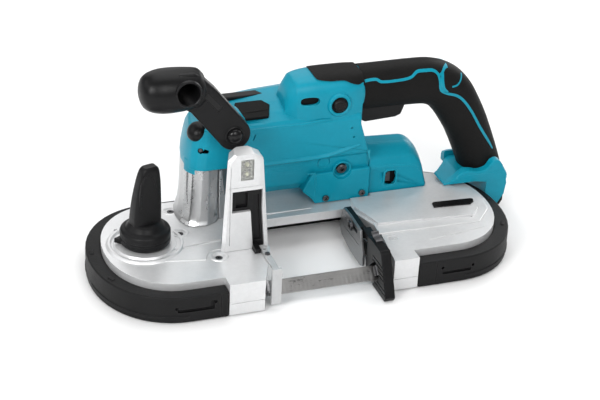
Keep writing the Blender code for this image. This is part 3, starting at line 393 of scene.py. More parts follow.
def make(name, rgb, rough, metal=0.0, var=0.10, blotch=28.0, rvar=0.10, grain=(), streak=None, edge=None, coat=0.0, spec=0.5,
         trans=0.0, sheen=0.0):
    m = bpy.data.materials.new(name)
    m.use_nodes = True
    nt = m.node_tree
    bs = nt.nodes["Principled BSDF"]
    v = _coords(nt)
    big = _noise(nt, v, blotch, 4.0, 0.6)
    fine = _noise(nt, v, blotch * 14.0, 3.0, 0.6)
    dark = [c * (1.0 - var) for c in rgb] + [1.0]
    light = [min(1.0, c * (1.0 + var)) for c in rgb] + [1.0]
    both = _math(nt, "ADD", _math(nt, "MULTIPLY", big, 0.65), _math(nt, "MULTIPLY", fine, 0.35))
    col = _mix(nt, _range(nt, both, 0.36, 0.64, 0.0, 1.0), dark, light)
    r = _range(nt, both, 0.3, 0.7, rough - rvar, rough + rvar)
    normal = None
    for kind, scale, strength, dist in grain:
        h = _noise(nt, v, scale, 2.0, 0.5) if kind == "noise" else _cells(nt, v, scale)
        normal = _bump(nt, h, strength, dist, normal)
    if streak is not None:
        sv = _coords(nt, streak[0], streak[3] if len(streak) > 3 else (0, 0, 0))
        sn = _noise(nt, sv, 1.0, 4.0, 0.7)
        normal = _bump(nt, sn, streak[1], streak[2], normal)
        r = _math(nt, "ADD", r, _range(nt, sn, 0.3, 0.7, -0.09, 0.09))
        col = _mix(nt, _range(nt, sn, 0.35, 0.7, 0.0, 0.45), col, [c * 0.72 for c in rgb] + [1.0])
    # painted highlight: edges are mixed towards a lighter colour, broken up by fine noise
    if edge is not None:
        radius, highlight_rgb, amount, erough = edge
        e = _math(nt, "MULTIPLY", _edge_highlight_mask(nt, radius), _range(nt, fine, 0.35, 0.62, 0.35 * amount, amount))
        col = _mix(nt, e, col, list(highlight_rgb) + [1.0])
        r = _mixf(nt, e, r, erough)
    nt.links.new(col, bs.inputs["Base Color"])
    nt.links.new(_math(nt, "MAXIMUM", r, 0.04), bs.inputs["Roughness"])
    if normal is not None:
        nt.links.new(normal, bs.inputs["Normal"])
    bs.inputs["Metallic"].default_value = metal
    bs.inputs["Coat Weight"].default_value = coat
    bs.inputs["Coat Roughness"].default_value = 0.25
    bs.inputs["Specular IOR Level"].default_value = spec
    bs.inputs["Transmission Weight"].default_value = trans
    bs.inputs["Sheen Weight"].default_value = sheen
    return m

def _mixf(nt, fac, a, b):
    n = _new(nt, "ShaderNodeMix", data_type="FLOAT")
    _put(nt, fac, n.inputs[0])
    _put(nt, a, n.inputs[2])
    _put(nt, b, n.inputs[3])
    return n.outputs[0]

M = {}
# edge=(radius, colour, amount, roughness) paints a lighter highlight along each material's edges
M["cast"] = make("cast_silver_v", (0.70, 0.705, 0.71), 0.38, 0.5, 0.05, 22, 0.07,
                 grain=(("noise", 1500, 0.20, 0.00012), ("noise", 420, 0.08, 0.00015)), edge=(0.0009, (0.86, 0.86, 0.87), 0.55, 0.3), spec=0.35)
# darker copy of the cast silver: its darker base colour is painted shade on the pillar, its seam and the gusset
M["cast_shaded"] = make("cast_pillar_shaded_v", (0.56, 0.565, 0.57), 0.30, 0.8, 0.08, 26, 0.08,
                       grain=(("noise", 1300, 0.2, 0.00012),), streak=((30, 30, 10), 0.05, 0.0002), edge=(0.0008, (0.8, 0.8, 0.8), 0.4, 0.3), spec=0.35)
M["cover"] = make("pressed_cover_v", (0.10, 0.105, 0.11), 0.5, 0.4, 0.10, 24, 0.08, grain=(("noise", 1400, 0.2, 0.0001),),
                  edge=(0.0007, (0.3, 0.3, 0.3), 0.4, 0.35), spec=0.25)
M["bumper"] = make("bumper_rubber_v", (0.008, 0.008, 0.0084), 0.52, 0.0, 0.25, 40, 0.08,
                   grain=(("cells", 1150, 0.45, 0.0003), ("noise", 260, 0.12, 0.0002)), edge=(0.0011, (0.055, 0.055, 0.057), 0.6, 0.42), spec=0.19)
M["black"] = make("black_plastic_v", (0.0065, 0.0065, 0.007), 0.36, 0.0, 0.18, 36, 0.07,
                  grain=(("cells", 1500, 0.20, 0.00015),), edge=(0.0008, (0.05, 0.05, 0.052), 0.5, 0.30), spec=0.19)
M["gloss"] = make("black_gloss_v", (0.006, 0.006, 0.0065), 0.20, 0.0, 0.15, 30, 0.05, grain=(("noise", 900, 0.05, 0.00005),), coat=0.12, spec=0.2)
M["teal"] = make("teal_plastic_v", (0.002, 0.265, 0.375), 0.36, 0.0, 0.06, 26, 0.06,
                 grain=(("cells", 1700, 0.12, 0.00012), ("noise", 300, 0.05, 0.0001)), edge=(0.0010, (0.035, 0.40, 0.50), 0.6, 0.28), coat=0.0, spec=0.22)
M["grip"] = make("grip_rubber_v", (0.007, 0.0068, 0.0066), 0.58, 0.0, 0.22, 34, 0.08,
                 grain=(("cells", 900, 0.50, 0.00035), ("noise", 220, 0.10, 0.0002)), edge=(0.0009, (0.055, 0.053, 0.052), 0.45, 0.5), spec=0.13)
M["steel"] = make("bright_steel_v", (0.42, 0.42, 0.43), 0.30, 1.0, 0.08, 60, 0.08, streak=((90, 1900, 1900), 0.10, 0.00006),
                  grain=(("noise", 1600, 0.08, 0.00005),), edge=(0.0004, (0.7, 0.7, 0.71), 0.6, 0.2))
M["dark"] = make("dark_steel_v", (0.10, 0.10, 0.105), 0.36, 1.0, 0.14, 60, 0.10, grain=(("noise", 1400, 0.15, 0.00008),),
                 edge=(0.0004, (0.4, 0.4, 0.4), 0.6, 0.25))
M["plate"] = make("stop_plate_v", (0.26, 0.265, 0.27), 0.36, 0.9, 0.12, 50, 0.09, streak=((1500, 60, 1500), 0.12, 0.00006),
                  edge=(0.0005, (0.6, 0.6, 0.6), 0.6, 0.25))
M["blade"] = make("blade_strip_v", (0.34, 0.335, 0.33), 0.34, 1.0, 0.08, 45, 0.08, streak=((40, 2200, 2200), 0.10, 0.00004),
                  edge=(0.0005, (0.65, 0.65, 0.64), 0.5, 0.22))
M["alloy"] = make("wheel_alloy_v", (0.52, 0.53, 0.55), 0.32, 1.0, 0.06, 40, 0.08, streak=((600, 600, 60), 0.10, 0.00006))
M["tyre"] = make("wheel_tyre_v", (0.02, 0.02, 0.02), 0.7, 0.0, 0.2, 60, 0.08, grain=(("cells", 1300, 0.5, 0.0002),), spec=0.25)
M["guard"] = make("guard_grey_v", (0.50, 0.505, 0.51), 0.42, 0.45, 0.07, 40, 0.08, grain=(("noise", 1500, 0.2, 0.0001),),
                  edge=(0.0006, (0.8, 0.8, 0.8), 0.5, 0.32), spec=0.35)
M["copper"] = make("copper_winding_v", (0.60, 0.28, 0.13), 0.35, 1.0, 0.15, 60, 0.1, streak=((1500, 60, 60), 0.4, 0.0002))
M["lens"] = make("lamp_lens_v", (0.93, 0.94, 0.90), 0.20, 0.0, 0.05, 60, 0.08, grain=(("cells", 700, 0.5, 0.0003),), trans=0.85, coat=0.2)
M["pale"] = make("lamp_reflector_v", (0.72, 0.72, 0.69), 0.3, 0.2, 0.10, 60, 0.08, grain=(("cells", 900, 0.5, 0.0003),))
M["led"] = make("lamp_led_v", (0.95, 0.94, 0.72), 0.25, 0.0, 0.05, 60, 0.05, grain=(("noise", 900, 0.1, 0.0001),))
M["dark_in"] = make("inner_shadow_v", (0.003, 0.003, 0.0035), 0.6, 0.0, 0.2, 60, 0.1, grain=(("noise", 900, 0.2, 0.0001),), spec=0.15)

# ============================================================ piece helpers
def weld(me, ang=0.35):
    bm = bmesh.new()
    bm.from_mesh(me)
    bmesh.ops.remove_doubles(bm, verts=bm.verts, dist=2e-6)
    bmesh.ops.dissolve_limit(bm, angle_limit=math.radians(ang), verts=bm.verts, edges=bm.edges)
    bm.to_mesh(me)
    bm.free()

def clone(node):
    src = NODES[node]
    me = src.data.copy()
    me.materials.clear()
    for a in list(me.attributes):
        if a.name in ("custom_normal", "sharp_edge", "sharp_face"):
            me.attributes.remove(a)
    weld(me)
    return new_object(node + "_body", me)

def bevel(ob, width, seg=3, angle=30.0, clamp=True, profile=0.5):
    md = ob.modifiers.new("bevel", "BEVEL")
    md.width = width * MM
    md.segments = seg
    md.limit_method = "ANGLE"
    md.angle_limit = math.radians(angle)
    md.use_clamp_overlap = clamp
    md.profile = profile
    md.miter_outer = "MITER_ARC"
    apply_modifiers(ob)
    return ob

def dress(ob, mat, body, nodes=(), angle=34.0, weighted=True):
    ob.data.materials.clear()
    ob.data.materials.append(M[mat])
    for p in ob.data.polygons:
        p.material_index = 0
    ob.data.shade_smooth()
    ob.data.set_sharp_from_angle(angle=math.radians(angle))
    if weighted:
        md = ob.modifiers.new("weighted", "WEIGHTED_NORMAL")
        md.keep_sharp = True
        apply_modifiers(ob)
    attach(ob, body)
    if nodes:
        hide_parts(*nodes)
    return ob

def body_of(node):
    return NODES[node]["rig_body"]

def copy_ob(ob, name):
    c = ob.copy()
    c.data = ob.data.copy()
    c.name = name
    PARTS.objects.link(c)
    return c

def catmull(pts, n):
    """Smooth points through a polyline, n steps for each span."""
    P = [Vector(p) for p in pts]
    P = [P[0] * 2 - P[1]] + P + [P[-1] * 2 - P[-2]]
    out = []
    for i in range(1, len(P) - 2):
        for k in range(n):
            t = k / n
            a, b, c, d = P[i - 1], P[i], P[i + 1], P[i + 2]
            out.append(0.5 * ((2 * b) + (c - a) * t + (2 * a - 5 * b + 4 * c - d) * t * t + (3 * b - 3 * c + d - a) * t ** 3))
    out.append(P[-2])
    return out

def bead(name, pts, normals, width, height, n=8, taper=True):
    """Rounded raised line along 3-D points (deck mm)."""
    rings = []
    P = [Vector(p) for p in pts]
    for i, p in enumerate(P):
        d = (P[min(i + 1, len(P) - 1)] - P[max(i - 1, 0)]).normalized()
        nn = Vector(normals[i] if isinstance(normals, list) else normals).normalized()
        s = d.cross(nn).normalized()
        k = 0.45 if taper and i in (0, len(P) - 1) else 1.0
        ring = []
        for j in range(n):
            a = 2 * math.pi * (j + 0.5) / n
            ca, sa = math.cos(a), math.sin(a)
            ring.append(p + s * (width / 2 * k * math.copysign(abs(ca) ** 0.7, ca)) + nn * (height * k * math.copysign(abs(sa) ** 0.7, sa)))
        rings.append(ring)
    return loft(name, rings)

def on_skin(bvh, x, z, side=-1.0):
    """Point and normal where a line along Y meets the skin; x, z in deck mm."""
    o = Vector((x + OX, (-150.0 if side < 0 else 200.0), z)) * MM
    hit = bvh.ray_cast(o, Vector((0, 1 if side < 0 else -1, 0)))
    if hit[0] is None:
        return None
    p = hit[0] / MM
    return Vector((p.x - OX, p.y - OY, p.z)), hit[1]

def inlay(name, bvh, xz, width, side=-1.0, proud=0.22, n=6):
    """Strip laid on a curved skin; xz are deck mm in the handle's plane."""
    path = catmull([(x, 0, z) for x, z in xz], n)
    rows = []
    for i, p in enumerate(path):
        d = (path[min(i + 1, len(path) - 1)] - path[max(i - 1, 0)]).normalized()
        q = Vector((-d.z, 0, d.x))
        w = width(i / (len(path) - 1)) if callable(width) else width
        row = []
        for k in (-1.0, -0.86, -0.4, 0.0, 0.4, 0.86, 1.0):
            h = on_skin(bvh, p.x + q.x * w / 2 * k, p.z + q.z * w / 2 * k, side)
            if h is None:
                row = None
                break
            row.append(h[0] + h[1] * (proud if abs(k) < 0.99 else -0.5))
        if row:
            rows.append(row)
    bm = bmesh.new()
    vs = [[bm.verts.new(Vector((c.x + OX, c.y + OY, c.z)) * MM) for c in r] for r in rows]
    for a, b in zip(vs, vs[1:]):
        for j in range(len(a) - 1):
            bm.faces.new((a[j], a[j + 1], b[j + 1], b[j]))
    bmesh.ops.recalc_face_normals(bm, faces=bm.faces)
    me = bpy.data.meshes.new(name)
    bm.to_mesh(me)
    bm.free()
    return new_object(name, me)

def bvh_of(ob):
    bm = bmesh.new()
    bm.from_mesh(ob.data)
    t = BVHTree.FromBMesh(bm)
    bm.free()
    return t

# ================================================================ cast deck
deck = clone("deck_frame")
bevel(deck, 0.8, 3, 28)
cutters = []
for x, y, z in ((-83.0, -33.0, 30.0), (-102.5, 47.5, 31.5), (66.8, -42.0, 30.0), (-104.5, 10.0, 31.5)):
    cutters.append(turned("t", [(0, 4), (5.4, 4), (4.6, -0.9), (0, -0.9)], (x, y, z), steps=32))
cutters += [turned("t", [(0, 4), (2.6, 4), (2.2, -1.6), (0, -1.6)], (67.3, -25.0, 30.0), steps=24),
            turned("t", [(0, 4), (2.4, 4), (2.0, -1.4), (0, -1.4)], (-154.0, 30.0, 30.0), steps=24),
            prism("t", [(-77.6, 12.4), (-76.6, 11.9), (-77.6, 11.4)], -90.0, -55.0, "X"),
            prism("t", [(-77.6, 12.4), (-76.6, 11.9), (-77.6, 11.4)], 52.0, 80.0, "X")]
for c in cutters:
    boolean(deck, [c])
dress(deck, "cast", "frame", ["deck_frame"])

def on_frame(ob, mat, node, bev=None, seg=3, ang=30.0, replaces=False, clamp=True):
    if bev:
        bevel(ob, bev, seg, ang, clamp)
    return dress(ob, mat, body_of(node), [node] if replaces else ())

rim = turned("knob_rim", [(27.8, 29.6), (28.2, 31.0), (29.2, 31.9), (30.8, 32.0), (32.0, 31.2), (33.0, 29.6)], (KNOB[0], KNOB[1], 0), steps=96, closed=True)
on_frame(rim, "cast", "deck_frame")
ledge = prism("left_ledge", [(-131.5, -25.0), (-127, -30.0), (-94.5, -36.2), (-92.4, -30.0), (-88.5, -24.6), (-82, -22.6), (-76.0, -23.5), (-76.0, -12.0), (-92, -12.0), (-119, -16.0)], 29.5, 30.9)
on_frame(ledge, "cast", "deck_frame", 0.6, 3)
lip_r = prism("right_ledge", [(57, -34), (70, -34), (150, -36), (166, -18), (169, 0), (165, 20), (153, 38), (76, 38), (76, 29.5), (73.0, 27.0), (64, 20)],
              29.5, 31.0)
on_frame(lip_r, "cast", "deck_frame", 0.9, 3)
for i, (x, y, z) in enumerate(((-83.0, -33.0, 30.2), (-102.5, 47.5, 31.5), (-104.5, 10.0, 31.5))):
    ring = turned("screw_boss_%d" % i, [(5.5, -0.3), (5.5, 0.35), (6.3, 0.6), (7.4, 0.5), (8.0, -0.3)], (x, y, z), steps=48, closed=True)
    on_frame(ring, "cast", "deck_frame")
# stiffening ribs on the spine and lobes
for i, (a, b) in enumerate((((-60.0, 24.0), (17.0, 24.0)), ((96.0, -52.0), (150.0, -44.0)))):
    rib = bead("cast_rib_%d" % i, [(a[0], a[1], 30.0), ((a[0] + b[0]) / 2, (a[1] + b[1]) / 2, 30.0), (b[0], b[1], 30.0)], (0, 0, 1), 2.6, 0.9, 10)
    on_frame(rib, "cast", "deck_frame")

def socket_head(node, bev=0.35, mat="dark", depth=1.3, r=1.7, pos=None, axis=(0, 0, 1)):
    ob = clone(node)
    bevel(ob, bev, 2, 30)
    six = []
    for k in range(12):
        a = 2 * math.pi * k / 12
        rr = r * (1.0 if k % 2 == 0 else 0.76)
        six.append((rr * math.cos(a), rr * math.sin(a)))
    t = prism("t", six, -depth, 2.0)
    back = Matrix.Translation(Vector((-OX, -OY, 0)) * MM)
    rot = Vector((0, 0, 1)).rotation_difference(Vector(axis).normalized()).to_matrix().to_4x4()
    t.data.transform(Matrix.Translation(Vector((pos[0] + OX, pos[1] + OY, pos[2])) * MM) @ rot @ back)
    boolean(ob, [t])
    return dress(ob, mat, body_of(node), [node])

for nm, x, y, z in (("lobe_screw_a", -104.5, 10.0, 30.7), ("lobe_screw_b", -83.0, -33.0, 29.2),
                    ("lobe_screw_c", -102.5, 47.5, 30.7), ("lobe_screw_d", 66.8, -42.0, 29.2)):
    socket_head(nm, 0.35, "cast" if nm == "lobe_screw_d" else "dark", pos=(x, y, z))
for nm, x, y, z in (("housing_screw_a", 31.5, 26.6, 35.4), ("housing_screw_b", 65.0, 26.6, 36.4)):
    socket_head(nm, pos=(x, y, z), r=1.5, axis=(0, -1, 0))

mark = prism("deck_mark", [(139.5, -22.6), (149.5, -24.2), (146.0, -27.6), (143.5, -25.2)], 30.9, 31.25)
on_frame(mark, "dark", "deck_frame", 0.1, 1)

# wheel covers with pressed rings
for nm, sx in (("wheel_cover_front", -1), ("wheel_cover_rear", 1)):
    ob = clone(nm)
    bevel(ob, 0.7, 3, 30)
    for r in (30.0, 44.0):
        boolean(ob, [turned("t", [(r, -1), (r + 2.4, -1), (r + 1.8, 0.5), (r + 0.6, 0.5)], (sx * 117.0, 0, 0), steps=96, closed=True)])
    dress(ob, "cover", "frame", [nm])
ob = clone("return_channel")
on_frame(ob, "black", "return_channel", 0.6, 3, replaces=True)

# rubber bumpers
bf = clone("bumper_front")
bevel(bf, 1.5, 4, 32)
for t in (prism("t", [(-129.5, -80.0), (-129.5, -74.2), (-99.0, -75.4), (-99.0, -80.0)], 10.2, 13.2), box("t", -103.2, -99.0, -80.0, -75.4, 10.2, 18.6), turned("t", [(0, 2), (1.5, 2), (1.5, -2.5), (0, -2.5)], (-130.2, -76.2, 14.0), (0, -1, 0), 16),
          turned("t", [(0, 2), (1.5, 2), (1.5, -2.5), (0, -2.5)], (-98.5, -77.4, 16.6), (0, -1, 0), 16),
          box("t", -94.5, -93.6, -79.0, -76.9, 2.0, 23.0)):
    boolean(bf, [t])
dress(bf, "bumper", "frame", ["bumper_front"])
br = clone("bumper_rear")
bevel(br, 1.5, 4, 32)
for t in (prism("t", [(98.6, -80.0), (98.6, -75.6), (125.0, -74.8), (125.0, -80.0)], 10.0, 12.8), turned("t", [(0, 2), (1.5, 2), (1.5, -2.5), (0, -2.5)], (98.6, -77.4, 16.4), (0, -1, 0), 16),
          turned("t", [(0, 2), (1.5, 2), (1.5, -2.5), (0, -2.5)], (126.6, -76.9, 15.0), (0, -1, 0), 16),
          box("t", 92.4, 93.3, -79.0, -76.9, 2.0, 23.0)):
    boolean(br, [t])
dress(br, "bumper", "frame", ["bumper_rear"])
for i, (x, y, rz) in enumerate(((174.0, -34.0, 60), (-174.0, -34.0, -60), (-180.5, 10.0, 90), (180.5, 10.0, 90))):
    nub = box("bumper_nub_%d" % i, -3.2, 3.2, -1.6, 1.6, -0.4, 0.8)
    back = Matrix.Translation(Vector((-OX, -OY, 0)) * MM)
    nub.data.transform(Matrix.Translation(Vector((x * 0.995 + OX, y + OY, 24.0)) * MM) @ Matrix.Rotation(math.radians(rz), 4, "Z") @ back)
    on_frame(nub, "bumper", "bumper_rear", 0.6, 3)
for s, nodes in ((-1, "bumper_front"), (1, "bumper_rear")):     # moulded line round the skirt
    pts = [p for p in superarc(s, 0.0, -88, 60, 60)]
    line = bead(nodes + "_line", [(x, y, 6.0) for x, y in pts],
                [Vector((x - s * DECK_C, y * 0.8, 0)).normalized() for x, y in pts], 2.2, 0.55, 8)
    for v in line.data.vertices:
        v.co.x = max(-195.22 * MM, min(195.22 * MM, v.co.x))
    on_frame(line, "bumper", nodes)

# ================================================== pillar, tower and guards
pil = clone("support_pillar")
bevel(pil, 1.4, 3, 12)
boolean(pil, [box("t", -71.8, -67.4, 15.0, 24.6, 36.5, 42.5)])
# the pillar takes the darker cast copy, painted shade
dress(pil, "cast_shaded", "frame", ["support_pillar"])
frame_line = bead("pillar_seam", catmull([(-91.2, 19.4, 35.0), (-92.6, 25.4, 44.0), (-93.6, 28.4, 60.0), (-93.8, 29.0, 80.0)], 5), (-0.8, -0.6, 0), 1.6, 0.5, 8)
on_frame(frame_line, "cast_shaded", "support_pillar")
gus = prism("spine_gusset", [(-66.5, 31.0), (-66.5, 78.0), (-64.5, 78.0), (-58.5, 33.0), (-52.0, 31.0)], 24.0, 27.2, "Y")
on_frame(gus, "cast_shaded", "support_pillar", 0.8, 3)

tow = clone("guide_tower")
bevel(tow, 1.3, 4, 26)
for t in (box("t", -73.4, -72.5, -31.0, -26.9, 36.0, 108.0), box("t", -49.0, -48.3, -31.0, -27.6, 88.5, 112.0),
          prism("t", [(-28.3, 88.6), (-27.3, 89.0), (-28.3, 89.4)], -80.0, -35.0, "X")):
    boolean(tow, [t])
dress(tow, "cast", "frame", ["guide_tower"])
frm = prism("lamp_frame", [(-65.8, 93.9), (-52.2, 93.9), (-52.2, 115.1), (-65.8, 115.1)], -28.35, -27.4, "Y",
            holes=([(-64.4, 95.3), (-53.6, 95.3), (-53.6, 113.7), (-64.4, 113.7)],))
on_frame(frm, "cast", "guide_tower", 0.35, 2)
lens = prism("lamp_window", [(-64.3, 95.4), (-53.7, 95.4), (-53.7, 113.6), (-64.3, 113.6)], -27.9, -26.4, "Y")
bevel(lens, 0.5, 3)
dress(lens, "lens", "frame", ["lamp_lens"])
back = prism("lamp_back", [(-64.6, 95.0), (-53.4, 95.0), (-53.4, 114.0), (-64.6, 114.0)], -22.4, -20.4, "Y")
on_frame(back, "pale", "lamp_lens", 0.3, 2)
for i, z in enumerate((100.2, 108.8)):
    bowl = turned("lamp_bowl_%d" % i, [(1.9, 0.4), (3.4, 2.6), (3.9, 2.7), (3.9, 0.0), (1.9, 0.0)], (-59.0, -24.5, z), (0, -1, 0), 40, closed=True)
    on_frame(bowl, "steel", "lamp_lens")
    led = turned("lamp_led_%d" % i, [(0, 2.6), (0.9, 2.35), (1.5, 1.7), (1.8, 0.8), (1.8, 0.0), (0, 0.0)], (-59.0, -25.2, z), (0, -1, 0), 32)
    on_frame(led, "led", "lamp_lens")
ins = clone("guide_insert")
bevel(ins, 0.7, 3, 30)
for t in (box("t", -67.6, -57.4, -27.0, -22.4, 68.8, 82.6), prism("t", [(-53.4, 80.0), (-47.6, 80.0), (-47.4, 66.0), (-45.0, 37.0), (-50.6, 37.0), (-53.4, 64.0)], -27.0, -23.8, "Y")):
    boolean(ins, [t])
dress(ins, "black", "frame", ["guide_insert"])
grd = clone("front_blade_guard")
bevel(grd, 0.7, 3, 30)
boolean(grd, [turned("t", [(0, 4), (1.5, 4), (1.5, -4), (0, -4)], (-45.1, -36.0, 33.0), (0, 0, 1), 20)])
dress(grd, "guard", "frame", ["front_blade_guard"])
gs = turned("guard_screw", [(0, 1.5), (1.6, 1.4), (2.2, 0.9), (2.4, 0.0), (0, 0.0)], (-45.1, -44.0, 33.0), steps=32)
boolean(gs, [box("t", -47.7, -42.5, -44.3, -43.7, 34.0, 35.0)])
on_frame(gs, "dark", "front_blade_guard")

shoe = clone("guide_shoe")
bevel(shoe, 0.9, 3, 30)
for k in range(7):
    z = 6.0 + k * 3.6
    boolean(shoe, [prism("t", [(-94.0, z - 0.55), (-60.0, z - 0.55), (-60.0, z + 0.55), (-94.0, z + 0.55)], 40.0, 42.5, "X")])
dress(shoe, "black", "frame", ["guide_shoe"])
clip = loft("shoe_clip_v", [[(43.6, y, z - 0.5), (49.9, y, z - 0.5), (49.9, y, z + 0.5), (43.6, y, z + 0.5)] for y, z in
                            ((-60.5, 38.6), (-60.2, 40.0), (-59.0, 40.6), (-55.0, 40.9), (-52.0, 41.2), (-50.2, 42.4), (-49.6, 43.6))])
bevel(clip, 0.2, 2)
dress(clip, "dark", "frame", ["shoe_clip"])
stp = clone("stopper_plate")
bevel(stp, 0.4, 2, 30)
boolean(stp, [prism("t", [(-35.5, 23.6), (7.0, 22.4), (7.0, 21.6), (-35.5, 22.8)], 38.0, 39.55, "X")])
dress(stp, "plate", body_of("stopper_plate"), ["stopper_plate"])
brk = clone("stopper_bracket")
on_frame(brk, "black", "stopper_bracket", 0.7, 3, replaces=True)
socket_head("stopper_screw", 0.3, "dark", 1.4, 1.9, (36.3, -18.0, 32.5), (-1, 0, 0))

# =============================================================== the blade
def blade_centre():
    fr = []
    zc = (WHEEL_Z0 + WHEEL_Z1) / 2
    r = WHEEL_R + BLADE_T / 2 + 0.05
    for i in range(41):
        a = math.radians(-90 - 180.0 * i / 40)
        fr.append((Vector((-WHEEL_X + r * math.cos(a), r * math.sin(a), zc)), 0.0, a))
    for i in range(41):
        a = math.radians(90 - 180.0 * i / 40)
        fr.append((Vector((WHEEL_X + r * math.cos(a), r * math.sin(a), zc)), 0.0, a))
    for x, tw in ((92, 8), (78, 22), (66, 34), (54, 43), (46, 45), (0, 45), (-42, 45), (-52, 43), (-64, 34), (-76, 22), (-92, 8), (-107, 0)):
        fr.append((Vector((x, -r, zc)), tw, math.radians(-90)))
    return fr

def blade_mesh(pitch=1.8):
    fr = blade_centre()
    acc = [0.0]
    for a, b in zip(fr, fr[1:]):
        acc.append(acc[-1] + (b[0] - a[0]).length)
    total = acc[-1]
    teeth = int(round(total / pitch))
    n = teeth * 3
    bm = bmesh.new()
    rows = []
    j = 0
    for i in range(n):
        s = total * i / n
        while acc[j + 1] < s:
            j += 1
        t = (s - acc[j]) / (acc[j + 1] - acc[j])
        (c0, w0, a0), (c1, w1, a1) = fr[j], fr[j + 1]
        if abs(a1 - a0) > math.pi:
            a1 += math.copysign(2 * math.pi, a0 - a1)
        c = c0.lerp(c1, t)
        k = math.radians(w0 + (w1 - w0) * t)
        a = a0 + (a1 - a0) * t
        out = Vector((math.cos(a), math.sin(a), 0))
        up = Vector((0, 0, 1))
        wd = up * math.cos(k) - out * math.sin(k)
        nd = out * math.cos(k) + up * math.sin(k)
        phase = i % 3
        tip = (0.0, 0.35, 0.85)[phase]
        sett = (0.16 if (i // 3) % 2 else -0.16) if phase == 0 else 0.0
        hw, ht = BLADE_W / 2, BLADE_T / 2
        row = []
        for sw, sn in ((-hw + tip, -ht + sett), (-hw + 1.4, -ht), (hw - 0.2, -ht), (hw, -ht + 0.2), (hw, ht - 0.2), (hw - 0.2, ht), (-hw + 1.4, ht), (-hw + tip, ht + sett)):
            p = c + wd * sw + nd * sn
            row.append(bm.verts.new(Vector((p.x + OX, p.y + OY, p.z)) * MM))
        rows.append(row)
    m = len(rows)
    for i in range(m):
        A, B = rows[i], rows[(i + 1) % m]
        for q in range(8):
            bm.faces.new((A[q], A[(q + 1) % 8], B[(q + 1) % 8], B[q]))
    bmesh.ops.recalc_face_normals(bm, faces=bm.faces)
    me = bpy.data.meshes.new("blade_band")
    bm.to_mesh(me)
    bm.free()
    return new_object("blade_band", me)
bl = blade_mesh()
dress(bl, "blade", body_of("blade_loop"), ["blade_loop"], weighted=False)

# ============================================================ tension lever
kb = turned("lever_body", [(0, 53.0), (9.0, 53.0), (12.0, 52.3), (14.0, 50.6), (15.8, 48.0), (17.0, 47.0), (18.8, 46.6), (20.3, 45.6), (21.0, 44.0), (21.0, 40.2),
                           (20.5, 39.8), (20.5, 39.0), (21.0, 38.6), (21.0, 35.2), (20.6, 34.0), (19.4, 32.8), (0, 32.6)], (KNOB[0], KNOB[1], 0), steps=96)
ka = math.radians(15.0)
def knob_pt(u, v, z):
    return (KNOB[0] + u * math.cos(ka) - v * math.sin(ka), KNOB[1] + u * math.sin(ka) + v * math.cos(ka), z)
prof = [(50.0, 12.4, 7.2, 0), (56, 12.6, 7.0, 0), (66, 12.2, 6.6, 0.6), (76, 11.4, 6.2, 1.4), (86, 10.2, 5.8, 2.4),
        (94, 8.8, 5.4, 3.2), (99.5, 7.4, 4.6, 3.8), (102, 5.4, 3.2, 3.8)]
smoothp = catmull([(hw, ht, z) for z, hw, ht, du in prof], 3)
dus = catmull([(du, 0, z) for z, hw, ht, du in prof], 3)
pr = []
for p, q in zip(smoothp, dus):
    pr.append([Vector(knob_pt(q.x + p.x * cu_, p.y * cv_, p.z)) for cu_, cv_ in
               ((1, -0.5), (1, 0.5), (0.94, 0.8), (0.78, 1), (0.3, 1.04), (-0.3, 1.04), (-0.78, 1), (-0.94, 0.8), (-1, 0.5), (-1, -0.5), (-0.94, -0.8), (-0.78, -1),
                (-0.3, -1.04), (0.3, -1.04), (0.78, -1), (0.94, -0.8))])
pad_l = loft("t", pr)
pointer = prism("t", [(KNOB[0] - 20, KNOB[1] + 6.5), (KNOB[0] - 25.5, KNOB[1] + 3.6), (KNOB[0] - 20.3, KNOB[1] - 1)], 33.2, 37.6)
bevel(pointer, 0.5, 2)
boolean(kb, [pad_l], "UNION")
boolean(kb, [pointer], "UNION")
dress(kb, "black", body_of("tension_lever"), ["tension_lever"], angle=40)
ridge_pts = [knob_pt(u, -5.9, z) for u, z in ((-4.0, 48.0), (-6.2, 58.0), (-7.6, 70.0), (-7.4, 82.0), (-5.6, 91.0), (-2.6, 96.5))]
nn = Vector(knob_pt(0, -1, 0)) - Vector(knob_pt(0, 0, 0))
rg = bead("lever_ridge", catmull(ridge_pts, 4), nn, 1.8, 0.9, 10)
dress(rg, "black", body_of("tension_lever"))
ridge_pts = [knob_pt(u, -5.6, z) for u, z in ((2.0, 50.0), (5.4, 60.0), (7.2, 72.0), (6.8, 84.0), (4.6, 92.0), (1.6, 96.5))]
rg = bead("lever_ridge_b", catmull(ridge_pts, 4), nn, 1.5, 0.7, 10)
dress(rg, "black", body_of("tension_lever"))

# ============================================================ motor housing
def housing_section(x, s=0.0, top=124.0, low=44.0):
    y0, y1 = 28.0 + s, 98.0 - s
    pts = [(y0, 76.0), (y0, 110.0), (y0 + 3, 113.5), (y0 + 12, top - 5 - s), (y0 + 24, top - 1 - s), (y1 - 22, top - s), (y1 - 9, top - 5 - s),
           (y1 - 1, 104.0), (y1, 96.0), (y1, 62.0), (y1 - 4, 52.0), (y1 - 14, low - 2 + s), (y1 - 20, low - 5 + s),
           (y0 + 20, low - 5 + s), (y0 + 12, low - 2 + s), (y0 + 6.5, low + 6 + s), (y0 + 3.2, 68.0), (y0 + 2.8, 73.5)]
    return [Vector((x, y, z)) for y, z in pts]

